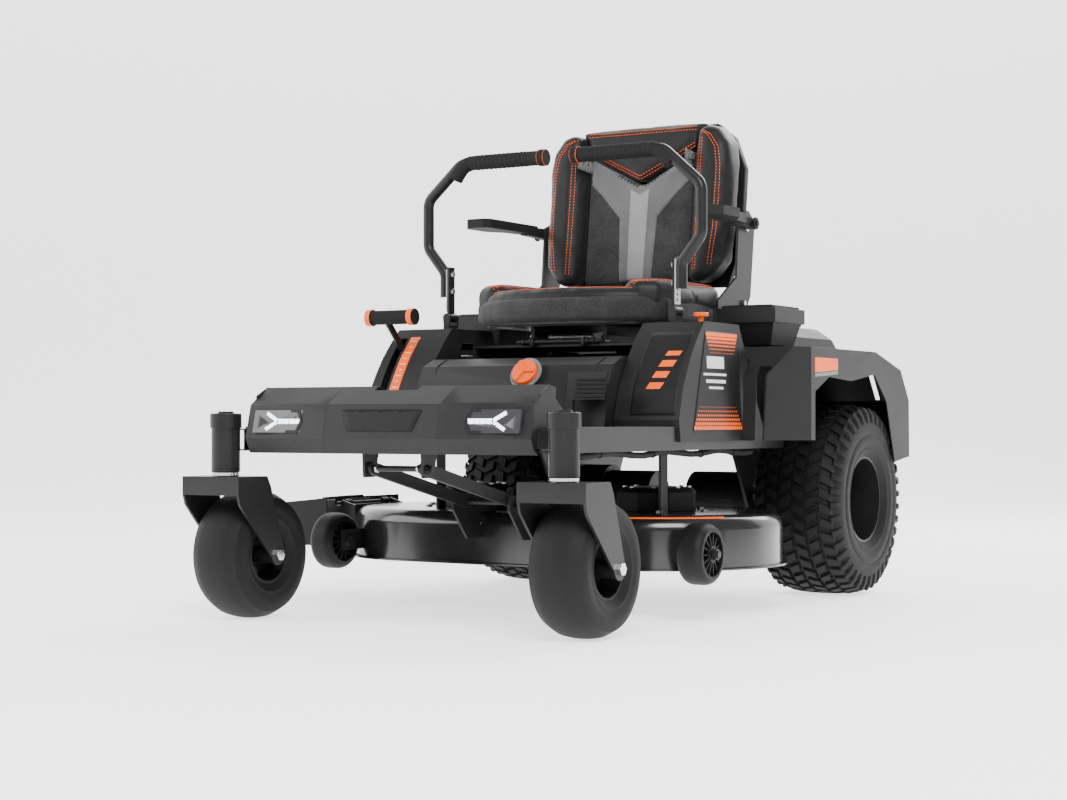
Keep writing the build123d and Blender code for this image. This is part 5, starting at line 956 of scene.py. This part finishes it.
@dataclass
class Levers:
    """Steering levers and the deck's lift handle."""

    pivot_x: float = 297.0
    pivot_y: float = 688.0
    pivot_z: float = 600.0
    tip_x: float = 38.0
    top_z: float = 1024.0
    grip_r: float = 17.4
    ring_r: float = 19.3

    def build(self) -> None:
        """Dress both levers and the lift handle."""
        for side, sign in SIDES:
            self.lever(side, sign)
        dress("lift_grip", FOAM, 1.2)
        low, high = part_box("lift_grip")
        middle = (low + high) / 2
        caps = Parts()
        for sign in (-1, 1):
            end = Vector((low.x if sign < 0 else high.x, middle.y, middle.z))
            caps.disc(end - Vector((sign * 13.6, 0, 0)) * MM, Vector((sign, 0, 0)), self.ring_r, 13.4, 40, 12)
        caps.piece("lift_grip_rings", ORANGE_PAINTED_GLOW, "lift_lever", 50)

    def lever(self, side: str, sign: int) -> None:
        """Dress one steering lever and add its foam grip, ring, flat bar and bolts.

        Args:
            side: "left" or "right".
            sign: 1 for the operator's left, -1 for the right.
        """
        body = "lever_" + side
        dress("lever_tube_" + side, FRAME_PAINT, 1.0)
        dress("lever_grip_" + side, FOAM, 1.4)
        dress("lever_base_" + side, BRACKET_PAINT, 0.8)
        bend = []
        for k in range(9):
            t = k / 8
            bend.append(at(sign * (244 + 40 * t), self.pivot_y, self.top_z - 2 - 34 * t * t))
        tube("lever_sleeve_" + side, bend, self.grip_r, FOAM, body, 20)
        ring = Parts()
        ring.disc(at(sign * (self.tip_x + 13.6), self.pivot_y, self.top_z), Vector((-sign, 0, 0)),
                  self.ring_r, 16.4, 44, 13)
        ring.piece("lever_ring_" + side, ORANGE_PAINTED_GLOW, body, 50)
        grooves = Parts()
        for k in range(12):
            grooves.disc(at(sign * (90 + 12 * k), self.pivot_y, self.top_z), Vector((1, 0, 0)),
                         self.grip_r + 0.5, 2.0, 32, self.grip_r - 2)
        grooves.piece("lever_grip_rings_" + side, RUBBER, body, 50)
        flat = Parts()
        flat.prism(((-12, 676), (12, 676), (12, 776), (-12, 776)),
                   lambda a, b, d: at(sign * (self.pivot_x + 3 + d), self.pivot_y + a, b), 0.0, 2.6)
        flat.piece("lever_flat_" + side, SILVER_PLATE, body)
        heads, holes = Parts(), Parts()
        for z in (724, 764):
            heads.disc(at(sign * (self.pivot_x - 3), self.pivot_y, z), Vector((-sign, 0, 0)), 7.5, 6)
        # The three holes in the flat bar are thin dark discs, not cut holes: partly the dark bracket behind them,
        # partly painted shade inside the holes.
        for z in (686, 698, 710):
            holes.disc(at(sign * (self.pivot_x + 5.6), self.pivot_y - 4, z), Vector((sign, 0, 0)), 3.4, 0.35,
                       20)
        heads.piece("lever_bolts_" + side, STEEL, body)
        holes.piece("lever_holes_" + side, DARK_MARK_AND_SHADE, body)
        nuts = Parts()
        for end in (-1, 1):
            nuts.disc(at(sign * (self.pivot_x + end * 21), self.pivot_y, self.pivot_z),
                      Vector((sign * end, 0, 0)), 11, 6)
        nuts.piece("lever_mount_nuts_" + side, STEEL, "chassis")


@dataclass
class Pad:
    """One stuffed shape: an outline, a thickness and how far it swells."""

    name: str
    outline: tuple[Point2, ...]
    low: float
    high: float
    finish: Finish
    round_mm: float = 14.0
    swell: float = 7.0
    fill: float = 0.7


@dataclass
class Seat:
    """The suspension seat: cushions with seams, shell, armrests and slides."""

    bracket_x: float = 272.4
    arm_y: float = 1098.0
    arm_z: float = 890.0
    back_front: float = 1052.0
    back_lean: float = 52.0
    back_low: float = 742.0
    back_high: float = 1148.0
    cell: float = 0.0055
    pads: list[bpy.types.Object] = field(default_factory=list)

    def nose(self, half: float, front: float, back: float) -> tuple[Point2, ...]:
        """The seat's rounded front edge as (x, y) points from right to left, in millimetres."""
        steps = 14
        across = (-1 + 2 * k / steps for k in range(steps + 1))
        return tuple((half * s, front + (back - front) * abs(s) ** 2.6) for s in across)

    def leaning(self, a: float, b: float, d: float) -> Vector:
        """Puts an (x, z) outline point d behind the backrest's front face."""
        lean = self.back_lean * (b - self.back_low) / (self.back_high - self.back_low)
        return at(a, self.back_front + d + lean, b)

    def base_pads(self) -> list[Pad]:
        """The seat's tall skirt, leather band, centre, raised panel and side bolsters."""
        skirt = self.nose(254, 625, 735) + ((254, 985), (236, 1040), (-236, 1040), (-254, 985))
        band = self.nose(250, 630, 738) + ((226, 752), (160, 735), (-160, 735), (-226, 752))
        centre = ((-158, 700), (158, 700), (152, 1030), (-152, 1030))
        raised = ((-62, 690), (62, 690), (104, 790), (84, 992), (-84, 992), (-104, 790))
        bolster = ((150, 700), (196, 694), (238, 716), (255, 764), (256, 985), (238, 1038), (152, 1038))
        return [
            Pad("seat_skirt", skirt, 643, 699, GREY_FABRIC, 12, 2.0, 0.9),
            Pad("seat_front_band", band, 672, 716, LEATHER, 18, 4.0),
            Pad("seat_centre", centre, 664, 713, LEATHER, 14, 4.0),
            Pad("seat_centre_panel", raised, 696, 722, LIGHT_FABRIC, 9, 3.0),
            Pad("seat_bolster_left", bolster, 668, 738, LEATHER, 26, 3.0),
            Pad("seat_bolster_right", mirrored(bolster), 668, 738, LEATHER, 26, 3.0),
        ]

    def back_pads(self) -> list[Pad]:
        """The backrest's bolsters, head panel, speckled sides and centre."""
        bolster = ((152, 750), (206, 752), (240, 800), (247, 880), (248, 1040), (240, 1090), (214, 1126),
                   (176, 1141), (160, 1120), (153, 1050))
        head = ((-152, 1082), (-70, 1040), (0, 1004), (70, 1040), (152, 1082), (158, 1112), (176, 1143),
                (-176, 1143), (-158, 1112))
        centre = ((-150, 750), (150, 750), (151, 1078), (70, 1037), (0, 1001), (-70, 1037), (-151, 1078))
        return [
            Pad("back_centre", centre, 4, 60, GREY_FABRIC, 9, 4.0),
            Pad("back_head", head, -6, 60, LEATHER, 12, 4.0),
            Pad("back_bolster_left", bolster, -34, 60, LEATHER, 26, 4.0),
            Pad("back_bolster_right", mirrored(bolster), -34, 60, LEATHER, 26, 4.0),
        ]

    def stuff(self, pad: Pad, place: Placing) -> None:
        """Turn a pad's outline into an evenly meshed rounded block, ready to swell.

        Args:
            pad: The pad.
            place: Puts an outline point and a depth in the frame.
        """
        points, faces = swept(pad.outline, place, pad.low, pad.high)
        piece = add_object(pad.name, mesh_of(pad.name, points, faces), pad.finish, "seat", 70)
        rounding = piece.modifiers.new("round", "BEVEL")
        rounding.width = pad.round_mm * MM
        rounding.segments = 5
        rounding.limit_method = "ANGLE"
        rounding.angle_limit = radians(50)
        remesh = piece.modifiers.new("even", "REMESH")
        remesh.mode = "VOXEL"
        remesh.voxel_size = self.cell
        smooth = piece.modifiers.new("soften", "SMOOTH")
        smooth.iterations = 4
        self._apply(piece)
        self.pads.append(piece)

    @staticmethod
    def _apply(piece: bpy.types.Object) -> None:
        """Bake a piece's modifiers into its mesh."""
        graph = bpy.context.evaluated_depsgraph_get()
        baked = bpy.data.meshes.new_from_object(piece.evaluated_get(graph))
        piece.modifiers.clear()
        piece.data = baked
        baked.shade_smooth()

    def swell(self, pads: Sequence[Pad]) -> None:
        """Blow all the pads up a little with cloth pressure and keep the result.

        Args:
            pads: The pads, in the order of self.pads.
        """
        for piece in self.pads:
            cloth = piece.modifiers.new("swell", "CLOTH").settings
            cloth.quality = 4
            cloth.mass = 0.4
            cloth.tension_stiffness = 18
            cloth.compression_stiffness = 18
            cloth.use_pressure = True
            cloth.uniform_pressure_force = 4.0
            cloth.effector_weights.gravity = 0.0
        scene = bpy.context.scene
        for step in range(1, 21):
            scene.frame_set(step)
        for piece, pad in zip(self.pads, pads):
            rest = [v.co.copy() for v in piece.data.vertices]
            self._apply(piece)
            for vertex, start in zip(piece.data.vertices, rest):
                moved = vertex.co - start
                if moved.length > pad.swell * MM:
                    vertex.co = start + moved.normalized() * pad.swell * MM
            piece.data.update()
        scene.frame_set(1)

    def seams(self) -> None:
        """Sew the double rows of stitches and lay the light mesh inserts."""
        seat = surface(*(piece for piece in self.pads if piece.name.startswith("seat")))
        back = surface(*(piece for piece in self.pads if piece.name.startswith("back")))
        rows = []
        for gap in (0.0, 8.0):
            rows.append([at(x, y + gap, 790) for x, y in self.nose(206, 652, 716)])
            for sign in (-1, 1):
                rows.append([at(sign * (x + gap), y, 800) for x, y in
                             ((160, 730), (176, 706), (208, 716), (226, 750), (236, 830), (238, 985))])
                rows.append([at(sign * (166 + gap), y, 800) for y in (730, 860, 1024)])
        stitches("seat_stitches", rows, seat, DOWN, "seat")
        rows = []
        for gap in (0.0, 8.0):
            for sign in (-1, 1):
                rows.append([self.leaning(sign * (x - gap), z, -60) for x, z in
                             ((218, 790), (228, 880), (229, 1030), (222, 1076), (200, 1108), (176, 1120))])
                rows.append([self.leaning(sign * (170 + gap), z, -60) for z in (780, 900, 1050, 1104)])
            rows.append([self.leaning(x, z + 7 + gap, -60) for x, z in
                         ((-146, 1080), (-70, 1041), (0, 1006), (70, 1041), (146, 1080))])
            rows.append([self.leaning(x, 1126 + gap, -60) for x in (-150, 0, 150)])
        stitches("back_stitches", rows, back, REARWARD, "seat")
        arm = ((-148, 1074), (-70, 1033), (0, 997), (70, 1033), (148, 1074), (146, 1014), (104, 976),
               (52, 918), (44, 760), (-44, 760), (-52, 918), (-104, 976), (-146, 1014))
        patch("back_mesh_insert", [self.leaning(x, z, -60) for x, z in arm], back, REARWARD, MESH_FABRIC,
              "seat", 1.0)
        stem = ((-26, 990), (0, 975), (26, 990), (22, 762), (-22, 762))
        patch("back_light_stem", [self.leaning(x, z, -60) for x, z in stem], back, REARWARD, LIGHT_FABRIC,
              "seat", 2.2)

    def armrest(self, side: str, sign: int) -> None:
        """Dress one armrest and cap its pivot."""
        dress("armrest_" + side, RUBBER, 5.0)
        out = Vector((sign, 0, 0))
        cap = Parts()
        cap.disc(at(sign * 301.6, self.arm_y, self.arm_z), out, 15, 4.5, 36)
        cap.disc(at(sign * 306, self.arm_y, self.arm_z), out, 8, 4)
        cap.piece("armrest_cap_" + side, BLACK_PLASTIC, "seat")

    def metal(self) -> None:
        """Dress the pan, shell and slides and add springs and bolts."""
        dress("seat_pan", BRACKET_PAINT, 0.8)
        dress("seat_hinge_plate", BRACKET_PAINT, 0.8)
        dress("back_shell", BLACK_PLASTIC, 3.0)
        coil = [at(-58 + 116 * k / 420, 742 + 6.5 * cos(tau * k / 14), 612 + 6.5 * sin(tau * k / 14))
                for k in range(421)]
        tube("seat_spring", coil, 1.3, STEEL, "seat_base", 8)
        heads = Parts()
        for sign in (-1, 1):
            for y, z in ((1000, 682), (1096, 700), (1112, 880), (1140, 890)):
                heads.disc(at(sign * self.bracket_x, y, z), Vector((sign, 0, 0)), 8, 5)
        heads.piece("seat_bracket_bolts", STEEL, "seat")
        clips = Parts()
        for x in (-110, -60, 60, 110):
            clips.disc(at(x, 716, 598.4), UP, 6.5, 4)
        clips.piece("seat_hinge_bolts", STEEL, "seat_base")
        ribs = Parts()
        for k in range(7):
            z = 800 + 42 * k
            ribs.prism(((-150, -5), (150, -5), (146, 5), (-146, 5)),
                       lambda a, b, d: self.leaning(a, z + b, 84 + d), -0.5, 2.4)
        ribs.piece("back_shell_ribs", BLACK_PLASTIC, "seat")

    def build(self) -> None:
        """Build the seat."""
        base, back = self.base_pads(), self.back_pads()
        for pad in base:
            self.stuff(pad, at)
        for pad in back:
            self.stuff(pad, self.leaning)
        self.swell(base + back)
        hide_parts("seat_cushion")
        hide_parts("back_cushion")
        self.seams()
        for side, sign in SIDES:
            self.armrest(side, sign)
        self.metal()


@dataclass
class Studio:
    """Pale floor, soft lights and the camera."""

    eye: tuple[float, float, float] = (2288.1, -3257.6, 413.7)
    heading: float = 30.86
    pitch: float = 0.66
    lens: float = 67.33
    reach: float = 30.0

    def floor(self) -> None:
        """A wide pale floor that curves up behind the machine."""
        sweep = [(-self.reach, 0.0), (5.0, 0.0)] + [(5.0 + 3 * sin(radians(t)), 3 - 3 * cos(radians(t)))
                                                    for t in range(10, 91, 10)] + [(8.0, 14.0)]
        turn = Matrix.Rotation(radians(self.heading), 4, "Z")
        points = [turn @ Vector((x, y, z)) for y, z in sweep for x in (-self.reach, self.reach)]
        faces = [[2 * k, 2 * k + 1, 2 * k + 3, 2 * k + 2] for k in range(len(sweep) - 1)]
        add_object("studio_floor", mesh_of("studio_floor", points, faces), FLOOR, "", 60)

    def light(self, name: str, spot: tuple[float, float, float], size: float, power: float) -> None:
        """One soft lamp aimed at the machine."""
        data = bpy.data.lights.new(name, "AREA")
        data.size = size
        data.energy = power
        lamp = bpy.data.objects.new(name, data)
        lamp.location = spot
        lamp.rotation_euler = (Vector((0, 0, 0.5)) - Vector(spot)).to_track_quat("-Z", "Y").to_euler()
        bpy.context.scene.collection.objects.link(lamp)

    def camera(self) -> None:
        """The camera at the fitted place."""
        data = bpy.data.cameras.new("camera")
        data.lens = self.lens
        data.sensor_width = 36.0
        data.clip_end = 100
        camera = bpy.data.objects.new("camera", data)
        camera.location = at(*self.eye)
        camera.rotation_euler = (radians(90 + self.pitch), 0, radians(self.heading))
        bpy.context.scene.collection.objects.link(camera)
        bpy.context.scene.camera = camera

    def build(self) -> None:
        """Set up the studio."""
        self.floor()
        self.light("key", (3.0, -3.4, 3.8), 2.6, 330)
        self.light("fill", (-3.6, -3.0, 2.4), 3.2, 170)
        self.light("back", (0.5, 3.8, 3.6), 3.0, 230)
        self.camera()
        world = bpy.data.worlds.new("studio")
        world.use_nodes = True
        world.node_tree.nodes["Background"].inputs["Color"].default_value = (1, 1, 1, 1)
        world.node_tree.nodes["Background"].inputs["Strength"].default_value = 0.45
        bpy.context.scene.world = world


def main() -> None:
    """Build every sub-assembly."""
    logging.basicConfig(level=logging.INFO, format="%(name)s: %(message)s")
    for part in (Studio(), Wheels(), Chassis(), Deck(), Bodywork(), Levers(), Seat()):
        LOG.info("building %s", type(part).__name__)
        part.build()


if __name__ == "__main__":
    main()
